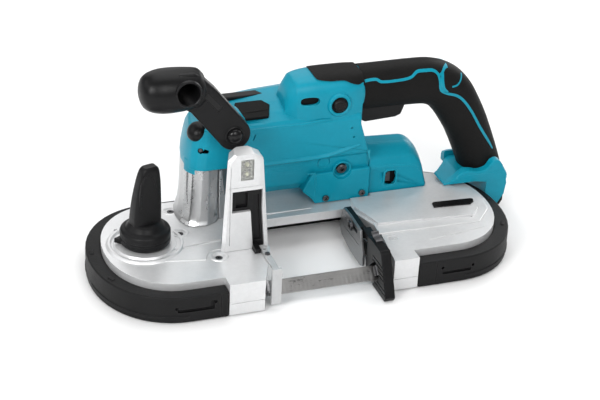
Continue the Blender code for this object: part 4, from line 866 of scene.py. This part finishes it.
def hump_rings(grow=0.0, x_add=0.0):
    rows = []
    base = ((-6.0, 13.0, 110.0, 18.0), (-3.2, 15.0, 113.0, 23.0), (1.0, 17.5, 117.0, 25.0), (5.0, 19.0, 119.5, 26.0), (19.0, 20.5, 121.0, 26.7),
            (48.0, 20.5, 121.0, 27.0), (61.9, 18.0, 126.5, 21.0))
    fine = catmull([(x, hy, zc + hz) for x, hy, zc, hz in base], 4)
    bots = catmull([(x, hy, zc - hz) for x, hy, zc, hz in base], 4)
    for p, q in zip(fine, bots):
        zt, zb, hy = p.z, q.z, p.y
        zc, hz = (zt + zb) / 2, (zt - zb) / 2
        ring = []
        for k in range(25):
            t = math.pi * k / 24
            ca, sa = math.cos(t), math.sin(t)
            ring.append(Vector((p.x + x_add, HANDLE_Y + (hy + grow) * math.copysign(abs(ca) ** 0.62, ca), zc + (hz + grow) * (0.22 + 0.78 * abs(sa) ** 0.72))))
        ring += [Vector((p.x + x_add, HANDLE_Y - hy - grow, zb)), Vector((p.x + x_add, HANDLE_Y + hy + grow, zb))]
        rows.append(ring)
    return rows

hs = loft("housing_body", [housing_section(-57.0, 0.5, 118.5), housing_section(-54.0, 0.0, 119.5), housing_section(-20.0, 0.0, 123.5),
                           housing_section(10.0, 0.0, 125.5), housing_section(69.0, 0.0, 122.0), housing_section(72.0, 1.0, 120.0)])
weld(hs.data, 0.3)
boolean(hs, [prism("t", [(61.9, 150.0), (60.8, 104.0), (72.6, 66.0), (95.0, 66.0), (95.0, 150.0)], 0, 130, "Y")])
bevel(hs, 1.7, 3, 18, False)
foot = prism("t", [(18.5, 36.0), (22.5, 30.4), (72.0, 30.4), (72.0, 60.0), (18.0, 60.0), (10.0, 44.0)], 28.6, 84.0, "Y")
bevel(foot, 1.5, 3, 30)
hump = loft("t", hump_rings())
boolean(hs, [foot, hump], "UNION")
boolean(hs, [rod("t", 6.5, (48.0, MOTOR_Y, MOTOR_Z), (80.0, MOTOR_Y, MOTOR_Z), 32),
             loft("t", [housing_section(-53.5, 3.2, 117.6), housing_section(-20.0, 3.2, 120.6), housing_section(52.0, 3.2, 119.0)])])
hc = [turned("t", [(0, 6), (3.5, 6), (3.5, -0.6), (0, -0.6)], (31.5, 28.2, 35.4), (0, -1, 0), 24),
      turned("t", [(0, 6), (3.5, 6), (3.5, -0.6), (0, -0.6)], (65.0, 28.2, 36.4), (0, -1, 0), 24),
      turned("t", [(0, 12), (7.1, 12), (7.1, -9.6), (0, -9.6)], (39.6, 28.0, 124.0), (0, -1, 0), 48),
      turned("t", [(0, 12), (1.0, 12), (1.0, -1.8), (0, -1.8)], (51.9, 28.0, 101.1), (0, -1, 0), 16),
      turned("t", [(0, 12), (1.0, 12), (1.0, -1.8), (0, -1.8)], (54.3, 28.0, 92.2), (0, -1, 0), 16),
      prism("t", [(-37.0, 100.6), (-35.6, 100.0), (-33.8, 105.4), (-35.2, 106.0)], 20.0, 29.6, "Y"),
      turned("t", [(0, 14), (8.6, 14), (8.6, 2.2), (7.6, -1.4), (0, -1.4)], (46.0, 31.2, 60.9), (0, -0.985, -0.17), 48),
      turned("t", [(0, 14), (6.6, 14), (6.6, 1.2), (5.6, -1.2), (0, -1.2)], (29.0, 31.0, 69.0), (0, -0.99, -0.1), 40)]
for z in (70.4, 65.6, 60.8):
    hc.append(prism("t", [(-49.0, z - 0.9), (8.0, z - 0.9), (9.0, z), (8.0, z + 0.9), (-49.0, z + 0.9)], 24.0, 31.2 + (70.4 - z) * 0.14, "Y"))
for k in range(5):                                       # rear air slots
    hc.append(box("t", -40.0 + k * 9.0, -36.5 + k * 9.0, 94.9, 102.0, 66.0, 92.0))
oval = [(13.8 + 8.4 * math.copysign(abs(math.cos(t)) ** 0.75, math.cos(t)), 129.2 + 3.9 * math.copysign(abs(math.sin(t)) ** 0.75, math.sin(t)))
        for t in [2 * math.pi * k / 36 for k in range(36)]]
hc.append(prism("t", oval, 20.0, 34.2, "Y"))
def pad_shape(name, grow, lo, hi):
    pts = [(-17 - grow, 0), (-12 - grow * 0.6, 10 + grow), (11 + grow * 0.6, 10 + grow), (16.5 + grow, 4), (12 + grow, -10 - grow), (-9 - grow * 0.6, -10 - grow)]
    ob = prism(name, pts, lo, hi)
    back = Matrix.Translation(Vector((-OX, -OY, 0)) * MM)
    place = Matrix.Translation(Vector((-33.0 + OX, 45.0 + OY, 119.6)) * MM) @ Matrix.Rotation(math.radians(19.0), 4, "X")
    ob.data.transform(place @ back)
    return ob
hc.append(pad_shape("t", 0.5, -1.6, 9.0))
for c in hc:
    boolean(hs, [c])
dress(hs, "teal", "frame", ["motor_housing"], angle=26)
pad = pad_shape("housing_pad_v", 0.0, -1.4, 1.7)
bevel(pad, 0.6, 3, 30)
dress(pad, "grip", "frame", ["housing_pad"])
def frame_ob(ob, mat, bev=None, seg=3, ang=30.0, angle=34.0):
    if bev:
        bevel(ob, bev, seg, ang)
    return dress(ob, mat, "frame", (), angle)
frame_ob(bead("pad_ridge", [(-46.0, 41.5, 119.9), (-33.0, 41.8, 120.3), (-20.0, 42.0, 120.6)], (0, -0.33, 0.94), 1.6, 0.6, 8), "grip")
# raised lines of the housing
for nm, pts, nrm, w, h in (
        ("housing_line_a", [(-54, 28.2, 77.0), (-20, 28.2, 77.0), (20, 28.2, 77.0), (30, 28.2, 77.6), (44, 28.2, 80.6), (60.5, 28.2, 84.4)], (0, -0.8, 0.6), 4.6, 1.6),
        ("housing_line_b", [(-50, 28.3, 110.0), (10, 28.3, 110.0), (24, 28.3, 111.4), (33, 28.2, 111.4)], (0, -1, 0.3), 2.2, 0.7),
        ("housing_line_c", [(-55.5, 29.8, 60.0), (-55.5, 28.1, 80.0), (-55.5, 28.3, 108.0)], (0, -1, 0), 1.8, 0.5),
        ("housing_line_d", [(14.0, 30.0, 60.5), (21.0, 28.9, 60.5), (21.5, 28.6, 56.0), (21.5, 28.6, 38.0)], (0, -1, 0), 2.0, 0.5)):
    frame_ob(bead(nm, pts, nrm, w, h, 12), "teal")
# surrounds of the button, the screw and the vent
frame_ob(turned("button_surround", [(7.2, -2.0), (7.2, 1.5), (8.0, 2.2), (9.6, 2.0), (10.6, 0.8), (11.0, -2.0)], (39.6, 29.4, 124.0), (0, -1, 0), 72, closed=True), "teal")
# near-black ring in the gap round the button: painted shadow in the gap
frame_ob(turned("button_gap_shade", [(6.45, -2.0), (6.45, 1.9), (7.1, 1.9), (7.1, -2.0)], (39.6, 29.4, 124.0), (0, -1, 0), 72, closed=True), "dark_in")
frame_ob(turned("screw_surround", [(6.9, -1.6), (6.9, 0.8), (7.5, 1.3), (8.5, 1.2), (8.5, -1.6)], (46.0, 31.2, 60.9), (0, -0.985, -0.17), 64, closed=True), "teal")
sc = turned("housing_bolt", [(0, 1.5), (3.6, 1.4), (4.7, 0.6), (4.9, -1.3), (0, -1.3)], (46.0, 31.2, 60.9), (0, -0.985, -0.17), 48)
t6 = prism("t", [((2.3 if k % 2 == 0 else 1.7) * math.cos(math.pi * k / 6), (2.3 if k % 2 == 0 else 1.7) * math.sin(math.pi * k / 6)) for k in range(12)], -0.6, 4.0)
t6.data.transform(Matrix.Translation(Vector((46.0 + OX, 31.2 + OY, 60.9)) * MM) @ Vector((0, 0, 1)).rotation_difference(Vector((0, -0.985, -0.17))).to_matrix().to_4x4()
                  @ Matrix.Translation(Vector((-OX, -OY, 0)) * MM))
boolean(sc, [t6])
frame_ob(sc, "dark")
frame_ob(turned("housing_plug", [(0, -0.2), (3.8, -0.2), (4.6, -0.6), (4.6, -1.2), (0, -1.2)], (29.0, 31.0, 69.0), (0, -0.99, -0.1), 40), "teal")
# near-black plate at the bottom of the vent: painted shadow inside the recess
vb = prism("vent_shade_plate", oval, 33.0, 34.0, "Y")
frame_ob(vb, "dark_in")
frame_ob(bead("vent_lip", [(7.0, 30.6, 126.2), (13.8, 30.4, 125.2), (20.6, 30.6, 126.2)], (0, -1, 0.4), 0.9, 0.35, 8), "teal")
frame_ob(prism("rear_strip", [(-56.0, 66.5), (-14.0, 66.5), (-10.0, 69.0), (-10.0, 76.0), (-56.0, 76.0)], 117.0, 123.4), "black", 1.2, 3)
# near-black sheets at the back of the rear air slots: painted shadow inside the slots
for k in range(5):
    frame_ob(box("rear_slot_%d" % k, -40.0 + k * 9.0, -36.5 + k * 9.0, 94.9, 95.5, 66.0, 92.0), "dark_in", 0.1, 2)
# soft black skin over the top of the hump
sk = loft("hump_skin", hump_rings(0.75, 0.0))
inner = loft("t", hump_rings(-0.2, 0.0))
boolean(sk, [inner])
edge_xz = catmull([(19.0, 0, 153.0), (19.2, 0, 149.0), (20.6, 0, 146.6), (25.0, 0, 145.6), (33.0, 0, 144.6), (44.0, 0, 144.2), (50.5, 0, 141.6), (56.6, 0, 139.8), (61.0, 0, 141.0),
                   (64.0, 0, 142.0), (64.0, 0, 153.0)], 5)
boolean(sk, [prism("t", [(p.x, p.z) for p in edge_xz], 10.0, 90.0, "Y")], "INTERSECT")
frame_ob(sk, "grip", 0.3, 2, 40)

# cap over the pillar
cap_out = [(-57.6, 70), (-57.6, 14.0), (-63, 12.0), (-83, 12.0), (-89.5, 14.5), (-94, 20), (-96.2, 28), (-96.0, 40), (-92.5, 56), (-84, 70)]
def cap_ring(z, kx, ky, g=0.0):
    out = []
    for x, y in cap_out:
        if x < -80:
            x += kx
        y = y + (ky if y < 30 else -0.7 * ky)
        out.append(Vector((x, y, z)))
    return out
cap = loft("cap_body", [cap_ring(84.9, 0, 0), cap_ring(95.0, 0.6, 0.1), cap_ring(106.0, 2.4, 0.9), cap_ring(114.5, 4.0, 2.2), cap_ring(119.6, 6.0, 3.8), cap_ring(121.0, 7.4, 5.2)])
weld(cap.data, 0.3)
bevel(cap, 1.6, 3, 20, False)
ear = turned("t", [(0, 13.5), (13.6, 13.5), (14.5, 12.6), (14.5, 0), (0, 0)], (BOSS[0], 26.0, BOSS[1]), (0, -1, 0), 64)
boolean(cap, [ear], "UNION")
boolean(cap, [prism("t", [(-96.1, 29.0), (-95.6, 25.0), (-93.6, 20.6), (-90.2, 16.2), (-88.0, 24.0), (-91.0, 32.0)], 81.0, 92.0)], "UNION")
for c in (turned("t", [(0, 40), (4.5, 40), (4.5, -5), (0, -5)], (BOSS[0], 30.0, BOSS[1]), (0, -1, 0), 40),
          turned("t", [(0, 8), (2.4, 8), (2.4, -3.4), (0, -3.4)], (-86.0, 14.6, 103.6), (-0.2, -0.97, 0.1), 24),
          prism("t", [(-84.6, 101.6), (-80.0, 101.6), (-79.2, 104.0), (-83.0, 105.4)], 8.0, 15.4, "Y"),
          turned("t", [(0, 14), (9.0, 14), (9.0, -2.3), (0, -2.3)], (-87.6, 24.2, 117.6), (-0.66, -0.36, 0.66), 48)):
    boolean(cap, [c])
dress(cap, "teal", "frame", ["housing_front_cap"], angle=28)
bc = turned("brush_cap_v", [(0, 4.6), (2.6, 4.5), (4.6, 3.9), (6.4, 2.9), (7.7, 1.7), (8.5, 0.2), (8.6, -2.0), (0, -2.0)], (-87.6, 24.2, 117.6), (-0.66, -0.36, 0.66), 64)
dress(bc, "black", "frame", ["brush_cap"])
frame_ob(turned("cap_screw", [(0, -1.2), (1.5, -1.3), (1.9, -1.8), (1.9, -3.0), (0, -3.0)], (-86.0, 14.6, 103.6), (-0.2, -0.97, 0.1), 24), "dark")

# gear case
def case_ring(x, d):
    pts = ((33.0, 30.5), (33.0, 58.0 - d), (36.0, 65.5 - d), (43.0, 70.5 - d), (50.0, 73.4 - d), (62.0, 73.8 - d), (66.5, 71.0 - d), (76.0, 63.5 - d),
           (79.0, 58.0 - d), (79.0, 30.5))
    return [Vector((x, y, z)) for y, z in pts]
gc = loft("case_body", [case_ring(72.6, 0.0), case_ring(112.0, 2.0), case_ring(117.0, 4.4), case_ring(121.0, 8.2), case_ring(124.5, 14.0)] +
          [[Vector((128.5, y, z)) for y, z in ((33.0, 30.5), (33.0, 33.5), (36.0, 35.0), (43.0, 35.6), (50.0, 36.0), (62.0, 36.0), (66.5, 35.6), (76.0, 35.0),
                                               (79.0, 33.5), (79.0, 30.5))]])
weld(gc.data, 0.3)
bevel(gc, 2.2, 4, 16, False)
boolean(gc, [loft("t", [[Vector((x, y, z)) for y, z in ((36.0, 29.0), (36.0, 57.0 - d), (38.5, 63.8 - d), (44.5, 68.6 - d), (50.5, 71.9 - d), (61.6, 72.2 - d),
                                                       (65.4, 69.4 - d), (74.0, 62.2 - d), (76.6, 57.0 - d), (76.6, 29.0))]
                       for x, d in ((72.0, 0.0), (110.0, 2.0), (122.0, 14.5))])])
win = [(88.0, 39.6), (89.4, 38.4), (97.2, 38.4), (98.4, 39.6), (98.4, 50.4), (97.2, 51.6), (90.6, 51.6), (88.6, 50.0)]
for c in (prism("t", win, 30.0, 36.6, "Y"),
          box("t", 84.0, 90.5, 52.0, 53.6, 72.9, 78.0), box("t", 93.6, 96.6, 55.0, 56.4, 72.9, 78.0), box("t", 102.0, 107.0, 50.0, 51.6, 72.0, 78.0),
          box("t", 90.0, 92.4, 44.0, 45.4, 70.2, 78.0), box("t", 106.0, 109.0, 57.0, 58.6, 71.6, 78.0)):
    boolean(gc, [c])
dress(gc, "teal", "frame", ["gear_case"], angle=26)
frame_ob(prism("window_frame", [(86.2, 38.8), (88.6, 36.6), (98.2, 36.6), (100.2, 38.8), (100.2, 51.2), (98.2, 53.4), (89.8, 53.4), (86.6, 51.2)],
               32.5, 34.4, "Y", holes=(win,)), "teal", 0.5, 3)
# near-black strips laid on the case side: painted shadow standing in for slots, no groove is cut
for k in range(3):
    frame_ob(prism("case_slot_%d" % k, [(76.0, 36.0 + 6 * k), (118.0, 36.0 + 6 * k), (118.0, 38.0 + 6 * k), (76.0, 38.0 + 6 * k)], 78.6, 79.3, "Y"), "dark_in", 0.2, 2)
# near-black sheet behind the window opening: painted shade inside the gear case
wn = prism("case_window_shade_v", [(86.6, 37.2), (99.8, 37.2), (99.8, 52.8), (86.6, 52.8)], 36.9, 37.8, "Y")
bevel(wn, 0.2, 2)
dress(wn, "dark_in", "frame", ["case_window"])
frame_ob(prism("window_part", [(89.5, 40.0), (94.0, 40.0), (94.0, 49.5), (91.5, 49.5), (89.5, 47.0)], 35.2, 37.2, "Y"), "dark", 0.5, 3)
frame_ob(bead("case_line", [(75.0, 33.2, 56.5), (90.0, 33.2, 56.5), (112.0, 33.2, 55.0), (119.0, 33.2, 51.6), (123.5, 33.2, 45.0)], (0, -1, 0.3), 2.0, 0.5, 10), "teal")

# ================================================================ D handle
PATH = [(62.6, 128.5), (86, 128.5), (110, 128.5), (128, 127.3), (142, 121.5), (152, 111.5), (160.5, 98.5), (168.5, 84), (176.5, 66), (183, 50), (187.5, 37.5)]
A_OUT = [20.5, 20.5, 20.5, 20.8, 21.2, 21.2, 20.6, 20.0, 19.6, 19.4, 19.4]
cen = catmull([(x, 0, z) for x, z in PATH], 8)
rad = catmull([(a, 0, 0) for a in A_OUT], 8)
def tube_rings(k, b, n=56, lo=0, hi=None, extra=0.0):
    rings = []
    L = len(cen)
    hi = L if hi is None else hi
    for i in range(lo, hi):
        d = (cen[min(i + 1, L - 1)] - cen[max(i - 1, 0)]).normalized()
        u = Vector((d.z, 0, -d.x)) * -1.0
        swell = 1.0 + 0.02 * math.sin(math.pi * i / L)
        rings.append(oval_ring(Vector((cen[i].x, HANDLE_Y, cen[i].z)) + d * (extra if i == L - 1 else (-extra if i == 0 else 0)), u, (0, 1, 0), (rad[i].x + k), (b + k), n, 2.3))
    return rings
cut_low = None
grip = loft("grip_body", tube_rings(-0.35, 17.0))
bmg = bmesh.new()
bmg.from_mesh(grip.data)
bmesh.ops.join_triangles(bmg, faces=[f for f in bmg.faces if len(f.verts) == 3], angle_face_threshold=3.1, angle_shape_threshold=3.1)
bmg.to_mesh(grip.data)
bmg.free()
boolean(grip, [prism("t", [(150, 0), (212, 0), (212, 41.0), (150, 41.0)], 20, 80, "Y")])
boolean(grip, [box("t", 62.9, 105.9, 38.8, 61.2, 100, 120.6)])
skin = bvh_of(grip)
dress(grip, "grip", "frame", ["handle_grip_outer", "handle_grip_inner", "handle_core"], angle=40, weighted=False)
lineA = [(60.0, 138.6), (65.0, 140.4), (74.1, 140.7), (79.3, 138.3), (91.3, 137.9), (105.1, 139.0), (112.3, 142.9), (119.9, 143.2), (127.4, 142.5), (131.7, 139.3),
         (133.3, 134.3), (134.6, 125.5), (139.8, 121.4), (150.5, 117.6), (157.9, 111.7), (166.9, 99.8), (176.5, 83.7), (187.2, 67.7), (192.4, 59.3)]
lineB = [(133.6, 138.4), (135.7, 139.4), (138.4, 141.9), (141.1, 142.9), (145.0, 142.6)]
lineC = [(136.2, 139.6), (135.9, 133.0), (137.4, 126.0), (141.0, 121.8)]
lineD = [(157.0, 134.6), (155.9, 132.6), (153.8, 129.8), (150.4, 127.2), (145.4, 126.4)]
for sd, tag in ((-1.0, "near"), (1.0, "far")):
    for nm, pts, w in (("a", lineA, lambda t: 2.6 if t < 0.93 else 2.6 - 20 * (t - 0.93)), ("b", lineB, 2.4), ("c", lineC, 3.2), ("d", lineD, 1.6)):
        ob = inlay("handle_inlay_%s_%s" % (nm, tag), skin, pts, w, sd)
        dress(ob, "teal", "frame", (), angle=60, weighted=False)
col = loft("handle_collar", [[Vector((x, HANDLE_Y + yy, 128.5 + zz)) for yy, zz in ring] for x, ring in
                             ((58.5, [(b * math.cos(t), a * math.sin(t)) for t in [2 * math.pi * k / 56 for k in range(56)] for a, b in [(19.6, 17.4)]]),
                              (61.6, [(b * math.cos(t), a * math.sin(t)) for t in [2 * math.pi * k / 56 for k in range(56)] for a, b in [(19.6, 17.6)]]),
                              (63.6, [(b * math.cos(t), a * math.sin(t)) for t in [2 * math.pi * k / 56 for k in range(56)] for a, b in [(19.3, 17.3)]]),
                              (64.4, [(b * math.cos(t), a * math.sin(t)) for t in [2 * math.pi * k / 56 for k in range(56)] for a, b in [(18.4, 16.4)]]))])
boolean(col, [box("t", 50, 70, 38.6, 61.4, 90, 118.8)])
frame_ob(col, "teal", None, angle=50)

# trigger, button, base, rail
tr = prism("trigger_v", [(63.4, 113.0), (62.9, 106.5), (64.6, 101.6), (68.5, 98.8), (97.0, 100.3), (102.0, 102.2), (105.0, 110.6), (105.0, 113.3)], 40.0, 60.0, "Y")
bevel(tr, 1.6, 4, 20)
boolean(tr, [box("t", 70.0, 96.0, 44.0, 56.0, 106.0, 115.0)])
for k in range(6):
    boolean(tr, [prism("t", [(72.0 + k * 4.4, 98.0), (73.4 + k * 4.4, 98.0), (73.2 + k * 4.4, 99.9 + k * 0.2), (72.2 + k * 4.4, 99.9 + k * 0.2)], 43.0, 57.0, "Y")])
dress(tr, "black", body_of("trigger"), ["trigger"])
bt = turned("button_body", [(0, 3.1), (3.2, 3.2), (4.4, 3.6), (5.2, 3.2), (6.0, 2.2), (6.3, 1.0), (6.3, -4.0), (0, -4.0)], (39.6, 29.3, 124.0), (0, -1, 0), 64)
dress(bt, "black", body_of("lock_off_button"), ["lock_off_button"])
for k in range(3):
    for s in (-1, 1):
        a = math.radians(90 * 0 + 60 * k)
        dot = turned("button_dot_%d%s" % (k, "a" if s < 0 else "b"), [(0, 0.5), (0.35, 0.42), (0.6, 0.2), (0.7, -0.2), (0, -0.2)],
                     (39.6 + s * 2.2 * math.cos(a), 26.15, 124.0 + s * 2.2 * math.sin(a)), (0, -1, 0), 16)
        dress(dot, "black", body_of("lock_off_button"))
NODE_BASE = clone("battery_base")
on_frame(NODE_BASE, "teal", "battery_base", 0.5, 2, replaces=True)
def flare_ring(y, top, low):
    pts = catmull([(x, 0, z) for x, z in top], 5)
    return [Vector((p.x, y, p.z)) for p in pts] + [Vector((x, y, z)) for x, z in low]
LOW = ((204.6, 33.0), (203.0, 26.0), (190.0, 30.6), (170.0, 34.0), (150.0, 34.4))
TOPS = (((145.0, 35.0), (152.0, 37.4), (160.0, 39.8), (168.0, 41.0), (176.0, 40.2), (184.0, 41.4), (190.0, 46.5), (197.0, 47.5), (204.6, 36.5)),
        ((146.0, 35.6), (153.0, 38.6), (160.0, 42.8), (168.0, 44.0), (176.0, 42.6), (184.0, 44.0), (189.5, 50.0), (196.5, 50.6), (204.4, 38.5)),
        ((148.0, 36.2), (155.0, 40.6), (161.0, 45.2), (168.0, 45.2), (176.0, 43.2), (184.0, 45.0), (189.0, 51.4), (196.0, 51.6), (204.0, 40.0)))
for sd, tag in ((-1, "near"), (1, "far")):
    ys = (26.2, 27.4, 32.6) if sd < 0 else (95.8, 94.0, 66.8)
    if sd > 0:
        ys = (73.0, 71.8, 66.8)
    rings = [flare_ring(y, t, LOW) for y, t in zip(ys, TOPS)]
    if sd > 0:
        rings = [[Vector((max(p.x, 160.0), p.y, p.z)) for p in r] for r in rings]
    fl = loft("base_flare_%s" % tag, rings)
    dress(fl, "teal", "frame", (), angle=35)
rl = clone("battery_rail")
bevel(rl, 0.5, 3)
for k in range(4):
    boolean(rl, [box("t", 204.9, 208.0, 38.0 + k * 12.0, 41.0 + k * 12.0, 9.0, 24.0)])
dress(rl, "black", "frame", ["battery_rail"])

# =========================================================== front handle
arm_pts = [(BOSS[0] + 13.8 * math.cos(a), BOSS[1] + 13.8 * math.sin(a)) for a in [math.radians(t) for t in range(-150, 46, 6)]]
arm_pts += [(-77.5, 164.5), (-90.0, 177.5), (-96, 181.5), (-110, 182.0), (-114, 152), (-105.5, 152.0), (-99.0, 147.5)]
arm = prism("arm_body", arm_pts, -2.6, 11.6, "Y")
bevel(arm, 1.8, 4, 20, False)
pom_prof = catmull([(0.01, 0, 0.0), (6, 0, 0.6), (12, 0, 3.2), (15.6, 0, 8.0), (17.7, 0, 15), (18.3, 0, 22), (18.1, 0, 30), (17.2, 0, 40), (15.8, 0, 48), (12.0, 0, 52)], 4)
pom = turned("t", [(0, 0.0)] + [(max(0.4, p.x), p.z) for p in pom_prof[1:]] + [(0, 52.0)], (-139.5, 7.0, 165.4), (1, 0, 0), 72)
neck = loft("t", [[Vector((x, 7.0 + hy * math.cos(t), zc + hz * math.sin(t))) for t in [2 * math.pi * k / 40 for k in range(40)]]
                  for x, hy, hz, zc in ((-101.0, 16.4, 17.0, 165.4), (-93.0, 14.0, 15.0, 164.8), (-87.0, 10.4, 11.6, 162.0), (-80.0, 6.6, 8.0, 156.0))])
boolean(arm, [pom], "UNION")
boolean(arm, [neck], "UNION")
for c in (turned("t", [(0, 34), (9.3, 34), (9.3, -18), (0, -18)], (-103.4, 4.0, 168.4), (0, -1, 0), 64),
          turned("t", [(0, 40), (4.45, 40), (4.45, -10), (0, -10)], (BOSS[0], 20.0, BOSS[1]), (0, -1, 0), 40),
          prism("t", [(-89.6, 161.0), (-85.2, 164.2), (-72.4, 149.6), (-76.8, 146.0)], -12.0, -1.9, "Y")):
    boolean(arm, [c])
dress(arm, "black", body_of("front_handle"), ["front_handle"], angle=34, weighted=False)
rg = turned("bore_ring", [(9.35, -1.0), (9.35, 1.2), (9.9, 1.7), (10.8, 1.5), (11.4, 0.6), (11.4, -1.0)], (-103.4, -9.6, 168.4), (0, -1, 0), 96, closed=True)
dress(rg, "black", body_of("front_handle"))
pt = prism("arm_patch", [(-89.2, 161.0), (-85.3, 163.8), (-72.8, 149.6), (-76.7, 146.4)], -2.3, -1.5, "Y")
bevel(pt, 0.25, 2)
dress(pt, "gloss", body_of("front_handle"))
bo = turned("pivot_bolt_v", [(0, 2.7), (2.0, 2.6), (4.0, 2.0), (5.4, 1.0), (6.3, -0.4), (6.4, -1.9), (3.7, -2.0), (3.7, -24.0), (0, -24.0)],
            (BOSS[0], -4.9, BOSS[1]), (0, -1, 0), 56)
dress(bo, "gloss", body_of("pivot_bolt"), ["pivot_bolt"])
br_ = turned("bolt_ring", [(6.6, -0.4), (6.7, 0.5), (7.4, 0.7), (8.0, 0.3), (8.1, -0.4)], (BOSS[0], -2.9, BOSS[1]), (0, -1, 0), 56, closed=True)
dress(br_, "black", body_of("front_handle"))

# name plate: plain
npl = prism("plain_plate", [(118.6, -8.4), (152.0, -11.0), (156.6, -7.5), (158.0, -3.0), (156.0, -1.4), (121.6, 0.4), (119.4, -1.6)], 33.1, 34.0)
bevel(npl, 0.35, 3)
dress(npl, "gloss", "frame", ["name_plate"])

# ====================================================== carried-over CAD nodes
INNER = {"idler_carriage": "steel", "tension_cam": "steel", "drive_gear": "steel", "drive_shaft": "steel", "lay_shaft": "steel", "lay_bevel_gear": "steel",
         "front_roller_a": "steel", "front_roller_b": "steel", "rear_roller_a": "dark", "rear_roller_b": "dark", "trigger_spring": "steel",
         "motor_bevel_pinion": "dark", "motor_stator": "dark", "motor_rotor": "copper", "idler_wheel": "alloy", "drive_wheel": "alloy",
         "idler_tyre": "tyre", "drive_tyre": "tyre", "trigger_switch": "black"}
for nm, mt in INNER.items():
    ob = NODES[nm]
    ob.data.materials.clear()
    ob.data.materials.append(M[mt])
    md = ob.modifiers.new("weld", "WELD")
    md.merge_threshold = 2e-6
    md = ob.modifiers.new("edge", "BEVEL")
    md.width = 0.25 * MM
    md.segments = 2
    md.limit_method = "ANGLE"
    md.angle_limit = math.radians(40)

# ====================================================== floor, light, camera
def floor_mesh():
    bm = bmesh.new()
    bmesh.ops.create_grid(bm, x_segments=8, y_segments=8, size=6.0)
    me = bpy.data.meshes.new("studio_floor")
    bm.to_mesh(me)
    bm.free()
    ob = new_object("studio_floor", me)
    ob.location = (0, 0, -0.0002)
    m = bpy.data.materials.new("studio_floor_m")
    m.use_nodes = True
    b = m.node_tree.nodes["Principled BSDF"]
    b.inputs["Base Color"].default_value = (0.92, 0.92, 0.92, 1)
    b.inputs["Roughness"].default_value = 0.75
    b.inputs["Specular IOR Level"].default_value = 0.15
    me.materials.append(m)
    return ob
floor_mesh()
w = bpy.data.worlds.new("studio")
bpy.context.scene.world = w
w.use_nodes = True
w.node_tree.nodes["Background"].inputs[0].default_value = (1, 1, 1, 1)
w.node_tree.nodes["Background"].inputs[1].default_value = 0.24

def area(name, loc, target, size, power, colour=(1, 1, 1), size_y=None):
    l = bpy.data.lights.new(name, "AREA")
    l.shape = "RECTANGLE"
    l.size = size
    l.size_y = size_y or size
    l.energy = power
    l.color = colour
    o = bpy.data.objects.new(name, l)
    PARTS.objects.link(o)
    o.location = loc
    o.rotation_euler = (Vector(target) - Vector(loc)).to_track_quat("-Z", "Y").to_euler()
    return o
area("top_box", (0.10, 0.35, 1.35), (0, 0, 0.05), 1.2, 9.5)
area("front_left", (-1.05, -0.75, 0.80), (0, 0, 0.07), 0.6, 10.5)
area("front_high", (-0.10, -1.25, 1.05), (0, 0, 0.06), 0.7, 7.0)
area("rear_right", (0.95, 0.65, 0.50), (0, 0, 0.08), 0.5, 4.0)
for k, (x, y) in enumerate(((-1.9, 0.5), (1.9, 0.2), (0.0, 2.0), (0.2, -2.2))):      # keeps the floor an even white
    area("floor_wash_%d" % k, (x, y, 1.1), (x * 0.75, y * 0.75, 0.0), 1.5, 8.0)

cam_d = bpy.data.cameras.new("photo_view")
cam_d.sensor_fit = "HORIZONTAL"
cam_d.sensor_width = 36.0
cam_d.lens = 95.905
cam_d.clip_start = 0.02
cam_d.clip_end = 30.0
cam = bpy.data.objects.new("photo_view", cam_d)
PARTS.objects.link(cam)
rx, ux, bx_ = Vector((0.94401, -0.32706, 0.0433)), Vector((0.12445, 0.47458, 0.87137)), Vector((-0.30554, -0.81719, 0.48871))
mw = Matrix((rx, ux, bx_)).transposed().to_4x4()
mw.translation = Vector((-0.42469, -1.10327, 0.71169))
cam.matrix_world = mw
bpy.context.scene.camera = cam
bpy.context.scene.view_settings.view_transform = "Standard"

bpy.context.view_layer.update()
